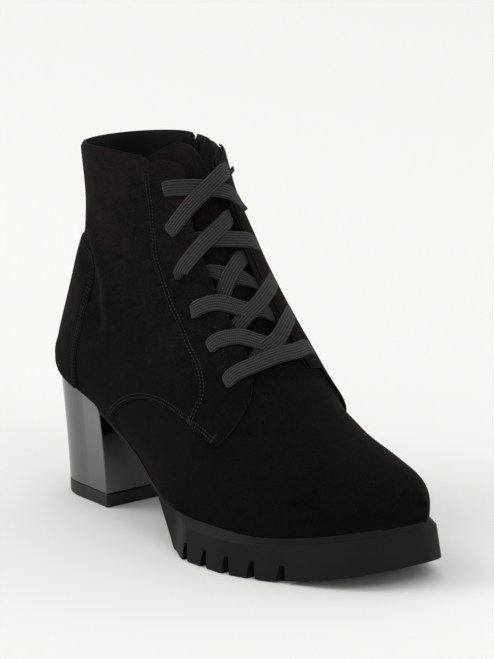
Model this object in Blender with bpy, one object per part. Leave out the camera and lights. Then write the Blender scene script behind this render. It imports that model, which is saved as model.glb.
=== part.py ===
# Right lace-up ankle boot on a block heel and a lugged platform sole. Metres, +Z up.
# +X points to the toe, +Y to the inner (medial) side of the foot, and the origin is the middle of the
# heel's bottom on the floor.
import math

import bmesh
import bpy
import numpy as np
from mathutils import Matrix, Vector

for item in list(bpy.data.objects):
    bpy.data.objects.remove(item, do_unlink=True)

# Last, the form that the boot is built on
LAST_LENGTH = 0.2525
LAST_BACK = -0.0296  # where the heel curve lies furthest back
BALL_WIDTH = 0.080
INSTEP_HEIGHT = 0.085  # over the platform
COLLAR_HEIGHT = 0.1795
COLLAR_WIDTH = 0.057
HEEL_HEIGHT = 0.0655
PLATFORM = 0.0192
GAP = 0.0003  # between pieces that lie on each other

# Upper
WALL = 0.0018
PANEL = 0.0008  # how far each sewn-on panel stands proud of what it lies on
PANEL_ROOT = 0.0006  # how deep a panel reaches into the wall that it is joined to
TRIM = 0.003  # upper and panels are made this much too long and cut to the topline and the sole
PANEL_ENDS = (0.5, 0.3)  # shares of that length for the quarters and for what lies on them
THROAT_FOOT = (0.07, -0.25)  # where the throat ends in the wall and in the quarters, as shares of its length
HOLE_DIAMETER = 0.0036
THROAT_MIDDLE = -0.001
THROAT_HALF = 0.0115
HOLE_HALF = 0.0205  # from the middle of the throat to a lace hole, before the share in HOLES
THROAT_CORNER = 0.011

# Sole
SEAT_THICKNESS = 0.0028
SEAT_EDGE = 0.0012  # how far the seat and the waist stand out past the upper
SEAT_HALF = 0.0295
SEAT_ROUND = 0.034  # length of the seat's round end
LEDGE_RISE = 0.0034
LEDGE_DEPTH = 0.0040
FLARE = 0.0022
TOE_SPRING = 0.0104
RAMP_START = LAST_BACK + 0.458 * LAST_LENGTH  # the sole comes down to the floor between these two
RAMP_END = LAST_BACK + 0.523 * LAST_LENGTH
NOTCH_HEIGHT = 0.0085
NOTCH_WIDTH = 0.0052
NOTCH_DEPTH = 0.012
GROOVE_DEPTH = 0.0025
INSOLE_THICKNESS = 0.0025

# Heel
HEEL_LENGTH = 0.0478
HEEL_BOTTOM_WIDTH = 0.049
HEEL_TOP_WIDTH = 0.060
HEEL_BREAST_RAKE = 0.0036
HEEL_BACK_RAKE = 0.0019
HEEL_SIDES = (0.0014, 0.0036)  # how much narrower the heel is behind its breast, at the floor and on top
TOP_PIECE = 0.0068

# Tongue
TONGUE_THICKNESS = 0.0024
TONGUE_HALF = 0.021
TONGUE_CROWN = 0.0085  # height of the arch at its top end

# Lace
LACE_WIDTH = 0.0074
LACE_THICKNESS = 0.0013
LACE_LIFT = 0.0005  # clear of the facing that it lies on
LACE_ROOM = 0.33  # from a row of holes to where the next strand comes out, counted in sections
LACE_DIP = 0.9  # how far before the fifth row the strands go down under the facings, in sections

# Zip on the inner side
ZIP_TEETH = 0.0044
ZIP_TAPE = 0.013
ZIP_SLOT = 0.0054
ZIP_END = 0.0055  # from the collar down to the end of the teeth
ZIP_LENGTH = 0.086
ZIP_TOP = COLLAR_HEIGHT - ZIP_END
ZIP_BOTTOM = ZIP_TOP - ZIP_LENGTH
ZIP_X = LAST_BACK + 0.24 * LAST_LENGTH
SLOT_EASE = 0.0035  # how far the slot goes on under the teeth
SLOT_REACH = 0.006  # how far the slot's cutter reaches out and in from the last
TAPE_THICKNESS = 0.0008
TAPE_CLEARANCE = 0.0006  # inside the curved wall that it is sewn to
SLIDER = (0.0066, 0.0030, 0.0090)  # along the leather, out from it, and up
PULL = (0.0050, 0.0013, 0.0200)
PULL_PIN = 0.0016

# Sections of the last from the toe to the collar. Each is a plane from a point on the sole line, or up
# the back seam, to a point on the ridge in front.
# foot, ridge: place along the last; back: share of the back seam's rise; instep, shaft: shares of the
# ridge's height; middle, lean: sideways shift of sole line and ridge; ball, collar: half widths; edge:
# width at the sole as a share of the widest; belly: height of the widest place; square: 2 is an ellipse.
SECTIONS = (
    # foot, back, ridge, instep, shaft, middle, lean, ball, collar, edge, belly, square
    (0.988, 0.000, 1.000, 0.225, 0.000, 0.260, 0.300, 0.000, 0.000, 0.97, 0.30, 2.30),
    (0.974, 0.000, 0.980, 0.300, 0.000, 0.130, 0.170, 0.315, 0.000, 0.97, 0.28, 2.30),
    (0.938, 0.000, 0.935, 0.375, 0.000, 0.070, 0.120, 0.570, 0.000, 0.98, 0.25, 2.28),
    (0.874, 0.000, 0.860, 0.445, 0.000, 0.000, 0.070, 0.770, 0.000, 0.98, 0.24, 2.22),
    (0.769, 0.000, 0.760, 0.565, 0.000, -0.090, 0.000, 0.940, 0.000, 0.98, 0.22, 2.12),
    (0.643, 0.000, 0.665, 0.755, 0.000, -0.090, 0.060, 1.000, 0.000, 0.98, 0.22, 2.03),
    (0.510, 0.000, 0.596, 1.000, 0.000, -0.100, 0.100, 0.980, 0.000, 0.97, 0.24, 1.98),
    (0.379, 0.000, 0.540, 1.000, 0.220, -0.050, 0.115, 0.700, 0.310, 0.85, 0.28, 2.00),
    (0.230, 0.000, 0.507, 1.000, 0.382, 0.000, 0.115, 0.450, 0.610, 0.83, 0.30, 2.02),
    (0.087, 0.000, 0.487, 1.000, 0.500, 0.000, 0.120, 0.250, 0.865, 0.765, 0.33, 2.03),
    (0.014, 0.000, 0.475, 1.000, 0.580, 0.000, 0.110, 0.100, 1.020, 0.42, 0.37, 2.06),
    (0.000, 0.125, 0.462, 1.000, 0.667, 0.010, 0.095, 0.000, 1.075, 0.00, 0.42, 2.08),
    (0.034, 0.385, 0.447, 1.000, 0.780, 0.070, 0.080, 0.000, 0.920, 0.00, 0.46, 2.06),
    (0.080, 0.690, 0.429, 1.000, 0.890, 0.105, 0.040, 0.000, 0.940, 0.00, 0.45, 2.08),
    (0.088, 1.030, 0.408, 1.000, 1.030, 0.105, -0.020, 0.000, 1.000, 0.00, 0.42, 2.14),
)
BACK_SEAM_ROW = 11  # from this section up the two sides meet at the back

# Line of the sole's top: place along the last, share of the rise from the platform to the heel seat
SOLE_LINE = (
    (-0.020, 1.000), (0.000, 1.000), (0.085, 0.905), (0.230, 0.710), (0.380, 0.345), (0.460, 0.140),
    (0.530, 0.045), (0.620, 0.000), (0.720, 0.000), (0.800, 0.028), (0.880, 0.090), (0.950, 0.170),
    (1.030, 0.260),
)

# Outline of the platform's bottom: place along the last, outer and inner half widths
PLATFORM_OUTLINE = (
    # along, outer, inner
    (0.000, 0.76, 0.76), (0.440, 0.93, 0.86), (0.525, 1.06, 0.95), (0.600, 1.245, 1.030),
    (0.684, 1.240, 1.060), (0.765, 1.120, 1.010), (0.839, 0.920, 0.950), (0.900, 0.730, 0.860),
    (0.950, 0.510, 0.725), (0.982, 0.240, 0.600), (1.0045, -0.280, 0.280),
)

# Lower front edge of the quarters in side view, from the sole up over the vamp to the throat:
# place along the last, share of the instep height over the platform
QUARTER_EDGE = (
    (0.301, 0.285), (0.291, 0.335), (0.287, 0.385), (0.318, 0.455), (0.353, 0.508), (0.397, 0.548),
    (0.442, 0.558), (0.479, 0.548), (0.525, 0.518), (0.556, 0.492), (0.595, 0.458), (0.629, 0.424),
    (0.641, 0.428), (0.658, 0.500), (0.664, 0.570), (0.661, 0.656), (0.652, 0.708), (0.645, 0.740),
)
# Back edge of the facings, from the vamp up: place along the last, height as a share of the collar's
FACING_EDGE = (
    (0.554, 0.330), (0.557, 0.372), (0.564, 0.409), (0.553, 0.446), (0.531, 0.484), (0.498, 0.525),
    (0.469, 0.569), (0.432, 0.622), (0.401, 0.678), (0.377, 0.729), (0.366, 0.775), (0.352, 0.823),
    (0.347, 0.904), (0.350, 1.040),
)
# Front edge of the counter, from the sole up and round to the back seam
COUNTER_EDGE = (
    (0.166, 0.325), (0.166, 0.364), (0.170, 0.411), (0.178, 0.455), (0.192, 0.506), (0.197, 0.573),
    (0.193, 0.627), (0.176, 0.680), (0.152, 0.702), (0.100, 0.722), (0.000, 0.740),
)
# Half width of the throat from its foot to the topline: share of its length, share of the half width
THROAT_EDGE = ((-0.10, 1.62), (0.02, 1.34), (0.12, 1.12), (0.28, 1.03), (0.60, 0.97), (0.93, 0.80))
# Room between the upper's wall and the tongue: place between toe and collar in sections, distance
TONGUE_ROOM = ((5.0, 0.0008), (7.0, 0.0012), (10.0, 0.0020), (12.5, 0.0052), (14.0, 0.0107))
# Lace holes from the lowest up: place between toe and collar in sections, share of HOLE_HALF
HOLES = ((5.62, 1.15), (6.42, 1.05), (7.30, 0.98), (8.45, 0.86), (10.95, 0.76), (12.75, 0.72))
# Notches in the sole's edge: places along the last
NOTCHES = (0.597, 0.654, 0.714, 0.769, 0.826)


def material(name, colour, roughness, metallic=0.0):
    made = bpy.data.materials.new(name)
    made.use_nodes = True
    shader = made.node_tree.nodes["Principled BSDF"]
    shader.inputs["Base Color"].default_value = (*colour, 1)
    shader.inputs["Roughness"].default_value = roughness
    shader.inputs["Metallic"].default_value = metallic
    return made


def curve_at(table, column, x):
    """Smooth curve through a column of a table, without overshoot between its rows."""
    xs = np.array([row[0] for row in table], float)
    ys = np.array([row[column] for row in table], float)
    step = np.diff(xs)
    rise = np.diff(ys) / step
    slope = np.concatenate([rise[:1], np.zeros(len(xs) - 2), rise[-1:]])
    for i in range(1, len(xs) - 1):
        if rise[i - 1] * rise[i] > 0:
            before, after = 2 * step[i] + step[i - 1], step[i] + 2 * step[i - 1]
            slope[i] = (before + after) / (before / rise[i - 1] + after / rise[i])
    x = np.clip(x, xs[0], xs[-1])
    i = np.clip(np.searchsorted(xs, x) - 1, 0, len(step) - 1)
    f = (x - xs[i]) / step[i]
    start = (2 * f**3 - 3 * f**2 + 1) * ys[i] + (f**3 - 2 * f**2 + f) * step[i] * slope[i]
    end = (3 * f**2 - 2 * f**3) * ys[i + 1] + (f**3 - f**2) * step[i] * slope[i + 1]
    return start + end


def smooth_line(points, steps=4):
    """Points on a smooth curve through hand-placed points."""
    rows = np.array(points, float)
    rows = np.vstack([2 * rows[0] - rows[1], rows, 2 * rows[-1] - rows[-2]])
    found = [through(rows[i : i + 4], k / steps) for i in range(len(rows) - 3) for k in range(steps)]
    return np.array(found + [rows[-2]])


def through(rows, f):
    """The point at share f between the middle two of four rows."""
    a, b, c, d = rows
    return 0.5 * (2 * b + (c - a) * f + (2 * a - 5 * b + 4 * c - d) * f**2 + (3 * b - a - 3 * c + d) * f**3)


def along(share):
    return LAST_BACK + share * LAST_LENGTH


def sole_top(x):
    share = (np.asarray(x, float) - LAST_BACK) / LAST_LENGTH
    return PLATFORM + (HEEL_HEIGHT - PLATFORM) * curve_at(SOLE_LINE, 1, share)


def sole_floor(x):
    """Underside of the sole: thin under heel seat and waist, on the floor at the ball, up at the toe."""
    x = np.asarray(x, float)
    thin = sole_top(x) - SEAT_THICKNESS
    ramp = np.clip((x - RAMP_START) / (RAMP_END - RAMP_START), 0, 1)
    toe_start, toe_end = along(0.742), along(PLATFORM_OUTLINE[-1][0])
    lift = TOE_SPRING * np.clip((x - toe_start) / (toe_end - toe_start), 0, 1) ** 2
    return thin * (1 - ramp) + lift * ramp


def section_row(t):
    """The section at place t, where t counts sections from the toe. At the toe the form closes round."""
    rows = np.array(SECTIONS, float)
    mirrored = rows[1] * np.array([1, 1, 1, 1, 1, 1, 1, -1, -1, 1, 1, 1])
    rows = np.vstack([mirrored, rows, 2 * rows[-1] - rows[-2]])
    i = min(int(t), len(SECTIONS) - 2)
    return through(rows[i : i + 4], t - i)


def last_point(t, s):
    """A point on the last. s runs from the outer sole edge (0) over the ridge (0.5) to the inner (1)."""
    foot, back, ridge, instep, shaft, middle, lean, ball, collar, edge, belly, square = section_row(t)
    foot_x, ridge_x = along(foot), along(ridge)
    foot_z = float(sole_top(foot_x)) + back * (COLLAR_HEIGHT - HEEL_HEIGHT)
    if back <= 0:
        foot_z -= TRIM
    ridge_z = PLATFORM + instep * INSTEP_HEIGHT + shaft * (COLLAR_HEIGHT - PLATFORM - INSTEP_HEIGHT)
    widest = ball * BALL_WIDTH / 2 + collar * COLLAR_WIDTH / 2
    power = 2 / square
    start = -math.acos(min(max(edge, 0), 0.985) ** (1 / power))
    angle = start + (math.pi / 2 - start) * (1 - abs(2 * s - 1))
    if angle > 0:
        height = belly + (1 - belly) * math.sin(angle) ** power
    else:
        height = belly * (1 - (math.sin(angle) / math.sin(start)) ** power)
    half = widest * max(math.cos(angle), 0) ** power
    sideways = (middle + (lean - middle) * height) * BALL_WIDTH / 2
    y = sideways + math.copysign(half, s - 0.5)
    return Vector((foot_x + (ridge_x - foot_x) * height, y, foot_z + (ridge_z - foot_z) * height))


def last_normal(t, s):
    """Outward direction of the last's surface."""
    dt, ds = 0.02, 0.004
    t = min(max(t, dt), len(SECTIONS) - 1 - dt)
    s = min(max(s, ds), 1 - ds)
    over = last_point(t, s + ds) - last_point(t, s - ds)
    forward = last_point(t + dt, s) - last_point(t - dt, s)
    return over.cross(forward).normalized()


def finish(name, mesh, look=None, smooth=True):
    made = bpy.data.objects.new(name, mesh)
    bpy.context.scene.collection.objects.link(made)
    if look:
        mesh.materials.clear()
        mesh.materials.append(look)
    if smooth:
        mesh.shade_smooth()
        mesh.set_sharp_from_angle(angle=math.radians(35))
    return made


def mesh_of(name, form):
    mesh = bpy.data.meshes.new(name)
    form.to_mesh(mesh)
    form.free()
    return mesh


def grid_form(columns, rows, place):
    """A bmesh grid whose vertex (i, j) is moved to place(i, j)."""
    form = bmesh.new()
    bmesh.ops.create_grid(form, x_segments=columns - 1, y_segments=rows - 1, size=0.5)
    for vert in form.verts:
        i, j = round((vert.co.x + 0.5) * (columns - 1)), round((vert.co.y + 0.5) * (rows - 1))
        vert.co = place(i, j)
    return form


def combine(target, other, operation):
    """Boolean of two objects, kept as the target's mesh. The other object is used up."""
    cut = target.modifiers.new(operation, "BOOLEAN")
    cut.operation, cut.object, cut.solver = operation, other, "EXACT"
    graph = bpy.context.evaluated_depsgraph_get()
    mesh = bpy.data.meshes.new_from_object(target.evaluated_get(graph))
    target.modifiers.clear()
    target.data = mesh
    bpy.data.objects.remove(other, do_unlink=True)
    return target


def prism(name, outline, low, high, turn=None):
    """A flat outline of (x, z) pairs, extruded along y from low to high, and then turned."""
    form = bmesh.new()
    face = form.faces.new([form.verts.new((x, low, z)) for x, z in outline])
    out = bmesh.ops.extrude_face_region(form, geom=[face])
    moved = [item for item in out["geom"] if isinstance(item, bmesh.types.BMVert)]
    bmesh.ops.translate(form, verts=moved, vec=(0, high - low, 0))
    if turn:
        bmesh.ops.transform(form, matrix=turn, verts=form.verts)
    bmesh.ops.recalc_face_normals(form, faces=form.faces)
    return finish(name, mesh_of(name, form), smooth=False)


def last_shell(name, outer, inner, steps=2, around=28):
    """A shell over the whole last between two distances out from its surface."""
    toe = [i / (3 * steps) for i in range(3 * steps)]
    places = toe + [i / steps for i in range(steps, (len(SECTIONS) - 1) * steps + 1)]
    normals = {}
    for i, t in enumerate(places):
        for j in range(around + 1):
            normals[i, j] = last_normal(t, j / around)
    for i, t in enumerate(places):
        for j in range(around // 2):
            if t == 0 or (j == 0 and t >= BACK_SEAM_ROW):
                joint = (normals[i, j] + normals[i, around - j]).normalized()
                normals[i, j] = normals[i, around - j] = joint
    skin = grid_form(
        around + 1,
        len(places),
        lambda j, i: last_point(places[i], j / around) + normals[i, j] * outer,
    )
    bmesh.ops.remove_doubles(skin, verts=skin.verts, dist=1e-6)
    shell = finish(name, mesh_of(name, skin))
    wall = shell.modifiers.new("wall", "SOLIDIFY")
    wall.thickness, wall.offset, wall.use_even_offset = outer - inner, -1, False
    return shell


def side_outline(points, rise):
    return [(along(x), z) for x, z in ((p[0], rise(p[1])) for p in smooth_line(points))]


def over_platform(share):
    return PLATFORM + share * INSTEP_HEIGHT


def of_collar(share):
    return share * COLLAR_HEIGHT


def throat_cutter(name, foot, ease, corners):
    """A prism along the ridge line that opens the throat. foot is where it ends, as a share."""
    low = Vector((along(0.665), 0, PLATFORM + 0.755 * INSTEP_HEIGHT))
    high = Vector((along(0.408), 0, COLLAR_HEIGHT))
    length = (high - low).length
    up = (high - low) / length
    out = Vector((up.z, 0, -up.x))
    shares = [foot + (0.93 - foot) * k / 12 for k in range(13)]
    edge = [(length * k, THROAT_HALF * float(curve_at(THROAT_EDGE, 1, k)) - ease) for k in shares]
    end = edge[0][1] * 0.55
    rounded = [(edge[0][0] - end * 0.62, edge[0][1] * 0.45), (edge[0][0] - end * 0.30, edge[0][1] * 0.82)]
    top = edge[-1]
    flare = [
        (top[0] + THROAT_CORNER * math.sin(a), top[1] + THROAT_CORNER * (1 - math.cos(a)))
        for a in (math.radians(30), math.radians(60), math.radians(85))
    ]
    if not corners:
        rounded, flare = [], [(length * 1.2, top[1])]
    else:
        flare.append((length * 1.2, flare[-1][1] * 1.3))
    right = rounded + edge + flare
    outline = [(u, THROAT_MIDDLE - w) for u, w in right]
    outline += [(u, THROAT_MIDDLE + w) for u, w in reversed(right)]
    turn = Matrix((
        (up.x, -out.x, 0, low.x), (0, 0, 1, 0), (up.z, -out.z, 0, low.z), (0, 0, 0, 1)
    ))
    return prism(name, outline, -0.030, 0.026, turn)


def hole_cutter(hole, side):
    """A short rod through the facing, square to it."""
    t, s = hole[0], hole_share(hole, side)
    form = bmesh.new()
    bmesh.ops.create_cone(
        form, cap_ends=True, segments=12, radius1=HOLE_DIAMETER / 2, radius2=HOLE_DIAMETER / 2, depth=0.014
    )
    facing = last_normal(t, s).to_track_quat("Z", "Y").to_matrix().to_4x4()
    place = Matrix.Translation(last_point(t, s)) @ facing
    bmesh.ops.transform(form, matrix=place, verts=form.verts)
    return finish("hole", mesh_of("hole", form), smooth=False)


def share_at_y(t, y):
    """The place round section t, near the ridge, at sideways position y."""
    low, high = 0.2, 0.8
    for _ in range(40):
        middle = (low + high) / 2
        if last_point(t, middle).y < y:
            low = middle
        else:
            high = middle
    return (low + high) / 2


def hole_share(hole, side):
    return share_at_y(hole[0], hole_y(hole, side))


def topline_cutter():
    """Everything over the topline, which dips towards the throat."""
    top = COLLAR_HEIGHT
    line = smooth_line(
        [(along(-0.20), top - 0.003), (along(0.05), top - 0.0025), (along(0.22), top),
         (along(0.34), top - 0.0015), (along(0.40), top - 0.0065), (along(0.50), top - 0.018)]
    )
    return prism("topline", [*line, (along(0.50), top + 0.03), (along(-0.20), top + 0.03)], -0.08, 0.08)


def sole_cutter(clearance):
    """Everything under the sole line."""
    xs = np.linspace(along(-0.08), along(1.06), 60)
    line = [(x, float(sole_top(x)) + clearance) for x in xs]
    return prism("under", [*line, (xs[-1], -0.02), (xs[0], -0.02)], -0.08, 0.08)


def sole_run(start, end, depth):
    """Points along the sole line, depth under it."""
    return [(x, float(sole_top(x)) - depth) for x in np.linspace(start, end, 24)]


def panel(name, layer, outline):
    """A sewn-on panel: a shell of the last, layer panels out, inside an outline seen from the side."""
    outer = layer * PANEL
    made = last_shell(name, outer, outer - PANEL - PANEL_ROOT)
    return combine(made, prism(name + "_side", outline, -0.08, 0.08), "INTERSECT")


def make_upper(look):
    # each layer ends a little short of the one that it lies on, past the cuts at topline and sole
    ends = [(COLLAR_HEIGHT + TRIM * k, TRIM * k) for k in PANEL_ENDS]
    far_front, far_back = along(0.78), along(-0.3)

    top, depth = ends[1]
    seam = side_outline(FACING_EDGE, of_collar)
    seam = [p for p in seam if p[1] < top]
    outline = [(seam[0][0], 0.0), (far_front, 0.0), (far_front, top), (seam[-1][0], top), *reversed(seam)]
    facing = panel("facing", 2, outline)
    seam = side_outline(COUNTER_EDGE, of_collar)
    bottom = sole_run(far_back, seam[0][0], depth)
    counter = panel("counter", 2, [*bottom, *seam, (far_back, seam[-1][1])])

    top, depth = ends[0]
    seam = side_outline(QUARTER_EDGE, over_platform)
    bottom = sole_run(far_back, seam[0][0], depth)
    outline = [*bottom, *seam, (far_front, over_platform(1.0)), (far_front, top), (far_back, top)]
    quarter = last_shell("quarter", PANEL, -PANEL_ROOT)
    combine(quarter, facing, "UNION")
    combine(quarter, counter, "UNION")
    combine(quarter, prism("quarter_side", outline, -0.08, 0.08), "INTERSECT")
    combine(quarter, throat_cutter("throat_wide", THROAT_FOOT[1], 0, False), "DIFFERENCE")

    upper = last_shell("upper", 0, -WALL)
    combine(upper, quarter, "UNION")
    combine(upper, throat_cutter("throat", THROAT_FOOT[0], PANEL_ROOT, True), "DIFFERENCE")
    for hole in HOLES:
        for side in (-1, 1):
            combine(upper, hole_cutter(hole, side), "DIFFERENCE")
    low, high = ZIP_BOTTOM - SLOT_EASE, COLLAR_HEIGHT + SLOT_REACH
    slot = zip_ribbon("slot", ZIP_SLOT, -SLOT_REACH, SLOT_REACH, low, high)
    combine(upper, slot, "DIFFERENCE")
    combine(upper, topline_cutter(), "DIFFERENCE")
    combine(upper, sole_cutter(GAP), "DIFFERENCE")
    return dress(upper, look)


def dress(made, look):
    made.data.materials.clear()
    made.data.materials.append(look)
    made.data.shade_smooth()
    made.data.set_sharp_from_angle(angle=math.radians(35))
    return made


def medial_place(x, z):
    """(t, s) on the inner side of the shaft at place x along the foot and height z."""
    t, s = 12.0, 0.75
    for _ in range(60):
        here = last_point(t, s)
        miss_x, miss_z = x - here.x, z - here.z
        step = 0.01
        by_t = (last_point(t + step, s) - here) / step
        by_s = (last_point(t, s + step) - here) / step
        whole = by_t.x * by_s.z - by_s.x * by_t.z
        t += 0.5 * (miss_x * by_s.z - by_s.x * miss_z) / whole
        s += 0.5 * (by_t.x * miss_z - miss_x * by_t.z) / whole
        t = min(max(t, 6), len(SECTIONS) - 1)
        s = min(max(s, 0.55), 0.98)
    return t, s


def zip_ribbon(name, width, inner, outer, low, high, count=10):
    """A band down the inner side that follows the last, between two distances out from it."""
    across = (-0.5, 0.0, 0.5)
    corners = [(share, inner) for share in across] + [(share, outer) for share in reversed(across)]
    rings = []
    for k in range(count):
        z = low + (high - low) * k / (count - 1)
        inside = min(z, COLLAR_HEIGHT)
        ring = []
        for share, out in corners:
            t, s = medial_place(ZIP_X + share * width, inside)
            ring.append(last_point(t, s) + last_normal(t, s) * out + Vector((0, 0, z - inside)))
        rings.append(ring)
    return finish(name, mesh_of(name, tube_form(rings)), smooth=False)


def tube_form(rings):
    """A closed solid through rings of as many corners each."""
    form = bmesh.new()
    loops = [[form.verts.new(p) for p in ring] for ring in rings]
    count = len(loops[0])
    for below, above in zip(loops, loops[1:]):
        for k in range(count):
            form.faces.new((below[k], below[(k + 1) % count], above[(k + 1) % count], above[k]))
    form.faces.new(list(reversed(loops[0])))
    form.faces.new(loops[-1])
    bmesh.ops.recalc_face_normals(form, faces=form.faces)
    return form


def plan_loop(stations, half, inset, height):
    """Points round a plan outline, in from its edge by inset, at height(x)."""
    outer = [Vector((x, -half(x)[0], 0)) for x in stations]
    inner = [Vector((x, half(x)[1], 0)) for x in reversed(stations[1:-1])]
    ring = outer + inner
    count = len(ring)
    points = []
    for k in range(count):
        run = (ring[(k + 1) % count] - ring[k - 1]).normalized()
        moved = ring[k] + Vector((-run.y, run.x, 0)) * inset(ring[k].x)
        points.append(Vector((moved.x, moved.y, height(moved.x))))
    return points


def plan_solid(name, stations, half, layers):
    """A solid from plan outlines on top of each other. layers holds (inset, height) pairs, lowest first."""
    form = bmesh.new()
    loops = [
        [form.verts.new(p) for p in plan_loop(stations, half, inset, height)] for inset, height in layers
    ]
    count = len(loops[0])
    for below, above in zip(loops, loops[1:]):
        for k in range(count):
            form.faces.new((below[k], below[(k + 1) % count], above[(k + 1) % count], above[k]))
    last = len(stations) - 1
    for ring in (loops[0], loops[-1]):
        for k in range(last):
            a, b = (count - k) % count, (count - k - 1) % count
            corners = [ring[k], ring[k + 1], ring[b], ring[a]]
            kept = [v for i, v in enumerate(corners) if v not in corners[:i]]
            form.faces.new(kept)
    bmesh.ops.recalc_face_normals(form, faces=form.faces)
    return finish(name, mesh_of(name, form))


def upper_edge(x):
    """Outer and inner half widths of the upper where it meets the sole, at place x."""
    rows = [section_row(k / 8) for k in range(8 * BACK_SEAM_ROW + 1)]
    places = np.array([along(row[0]) for row in rows])[::-1]
    halves = [max(row[7], 0) * BALL_WIDTH / 2 + max(row[8], 0) * COLLAR_WIDTH / 2 for row in rows]
    widths = np.array([h * min(max(row[9], 0), 0.985) for h, row in zip(halves, rows)])[::-1]
    middles = np.array([row[5] * BALL_WIDTH / 2 for row in rows])[::-1]
    wide, middle = np.interp(x, places, widths), np.interp(x, places, middles)
    return wide - middle, wide + middle


def rounded_stations(low, high, count):
    """Places from low to high, closer together at both ends."""
    return [low + (high - low) * (1 - math.cos(math.pi * k / (count - 1))) / 2 for k in range(count)]


def platform_half(share):
    """Half widths of the platform. Measured by the square root from the toe's tip, its end is round."""
    tip = PLATFORM_OUTLINE[-1][0]
    table = [(-math.sqrt(tip - row[0]), row[1], row[2]) for row in PLATFORM_OUTLINE]
    place = -math.sqrt(max(tip - share, 0))
    return [float(curve_at(table, column, place)) * BALL_WIDTH / 2 for column in (1, 2)]


def seat_back():
    return along(SECTIONS[BACK_SEAM_ROW - 1][0]) - SEAT_EDGE


def sole_half(x):
    """Half widths of the whole outsole's outline: round the heel seat, waist, then the platform."""
    share = (x - LAST_BACK) / LAST_LENGTH
    platform = platform_half(share)
    back = max(x - seat_back(), 0)
    round_back = SEAT_HALF * (1 - max(1 - back / SEAT_ROUND, 0) ** 2.3) ** (1 / 2.3)
    blend = min(max((share - 0.40) / 0.12, 0), 1)
    waist = [min(round_back, h + SEAT_EDGE) for h in upper_edge(max(x, along(0.05)))]
    waist = [min(w, round_back) for w in waist] if share < 0.14 else [h + SEAT_EDGE for h in upper_edge(x)]
    smooth = blend * blend * (3 - 2 * blend)
    return [w * (1 - smooth) + p * smooth for w, p in zip(waist, platform)]


def make_outsole(look):
    low, high = seat_back(), along(PLATFORM_OUTLINE[-1][0])
    stations = rounded_stations(low, along(0.36), 14)[:-4] + list(np.linspace(along(0.28), along(0.44), 7))
    stations += list(np.linspace(RAMP_START - 0.003, RAMP_END + 0.004, 7))
    forepart = high - RAMP_END - 0.012
    stations += [high - forepart * math.cos(a) for a in np.linspace(0, math.pi / 2, 18)]
    stations = sorted({round(float(x), 5) for x in stations if low <= x <= high} | {low, high})
    stations = [x for k, x in enumerate(stations) if k == 0 or x - stations[k - 1] > 0.0004 or x == high]

    def platform_share(x):
        share = min(max((x - RAMP_START) / (RAMP_END - RAMP_START), 0), 1)
        return share * share * (3 - 2 * share)

    def wall_foot(x):
        waist = SEAT_THICKNESS * 0.6
        return float(sole_top(x)) - waist - (LEDGE_RISE - waist) * platform_share(x)

    def ledge(x):
        return 0.0004 + (FLARE + LEDGE_DEPTH - 0.0004) * platform_share(x) * 0.8

    layers = [
        (lambda x: 0, lambda x: float(sole_floor(x))),
        (lambda x: FLARE * platform_share(x), wall_foot),
        (ledge, lambda x: float(sole_top(x))),
    ]
    sole = plan_solid("outsole", stations, sole_half, layers)
    for share in NOTCHES:
        x = along(share)
        groove = [
            (x - 0.0016, -0.001), (x + 0.0016, -0.001), (x + 0.0011, GROOVE_DEPTH), (x - 0.0011, GROOVE_DEPTH)
        ]
        combine(sole, prism("groove", groove, -0.07, 0.07), "DIFFERENCE")
        wedge = [
            (x - NOTCH_WIDTH / 2, -0.001), (x + NOTCH_WIDTH / 2, -0.001),
            (x + NOTCH_WIDTH * 0.22, NOTCH_HEIGHT), (x - NOTCH_WIDTH * 0.22, NOTCH_HEIGHT),
        ]
        outer, inner = sole_half(x)
        combine(sole, prism("notch", wedge, -0.07, NOTCH_DEPTH - outer), "DIFFERENCE")
        combine(sole, prism("notch", wedge, inner - NOTCH_DEPTH, 0.07), "DIFFERENCE")
    return dress(sole, look)


def heel_ring(share, z):
    """Outline of the heel at a share of its height: flat at the breast, round at the back."""
    breast = HEEL_LENGTH / 2 + HEEL_BREAST_RAKE * share
    back = -HEEL_LENGTH / 2 - HEEL_BACK_RAKE * share**1.6
    half = (HEEL_BOTTOM_WIDTH + (HEEL_TOP_WIDTH - HEEL_BOTTOM_WIDTH) * share**1.3) / 2
    side = half - HEEL_SIDES[0] - (HEEL_SIDES[1] - HEEL_SIDES[0]) * share
    centre = back + (breast - back) * 0.62
    points = [(breast, -half), ((breast + centre) / 2, -(half + side) / 2)]
    for k in range(15):
        a = math.pi / 2 + math.pi * k / 14
        x = centre + (centre - back) * math.copysign(abs(math.cos(a)) ** (2 / 2.6), math.cos(a))
        y = -side * math.copysign(abs(math.sin(a)) ** (2 / 2.6), math.sin(a))
        points.append((min(x, centre), y))
    points += [((breast + centre) / 2, (half + side) / 2), (breast, half)]
    return [Vector((x, y, z(x))) for x, y in points]


def make_heel(look):
    top = HEEL_HEIGHT - SEAT_THICKNESS - GAP
    rings = []
    for share in (0.0, 0.2, 0.4, 0.6, 0.8, 0.95, 1.0):
        rise = lambda x: float(sole_top(x)) - SEAT_THICKNESS - GAP
        height = lambda x, part=share: TOP_PIECE + GAP + (rise(x) - TOP_PIECE - GAP) * part
        rings.append(heel_ring((TOP_PIECE + (top - TOP_PIECE) * share) / top, height))
    return finish("heel_block", mesh_of("heel_block", capped_rings(rings)), look)


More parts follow.
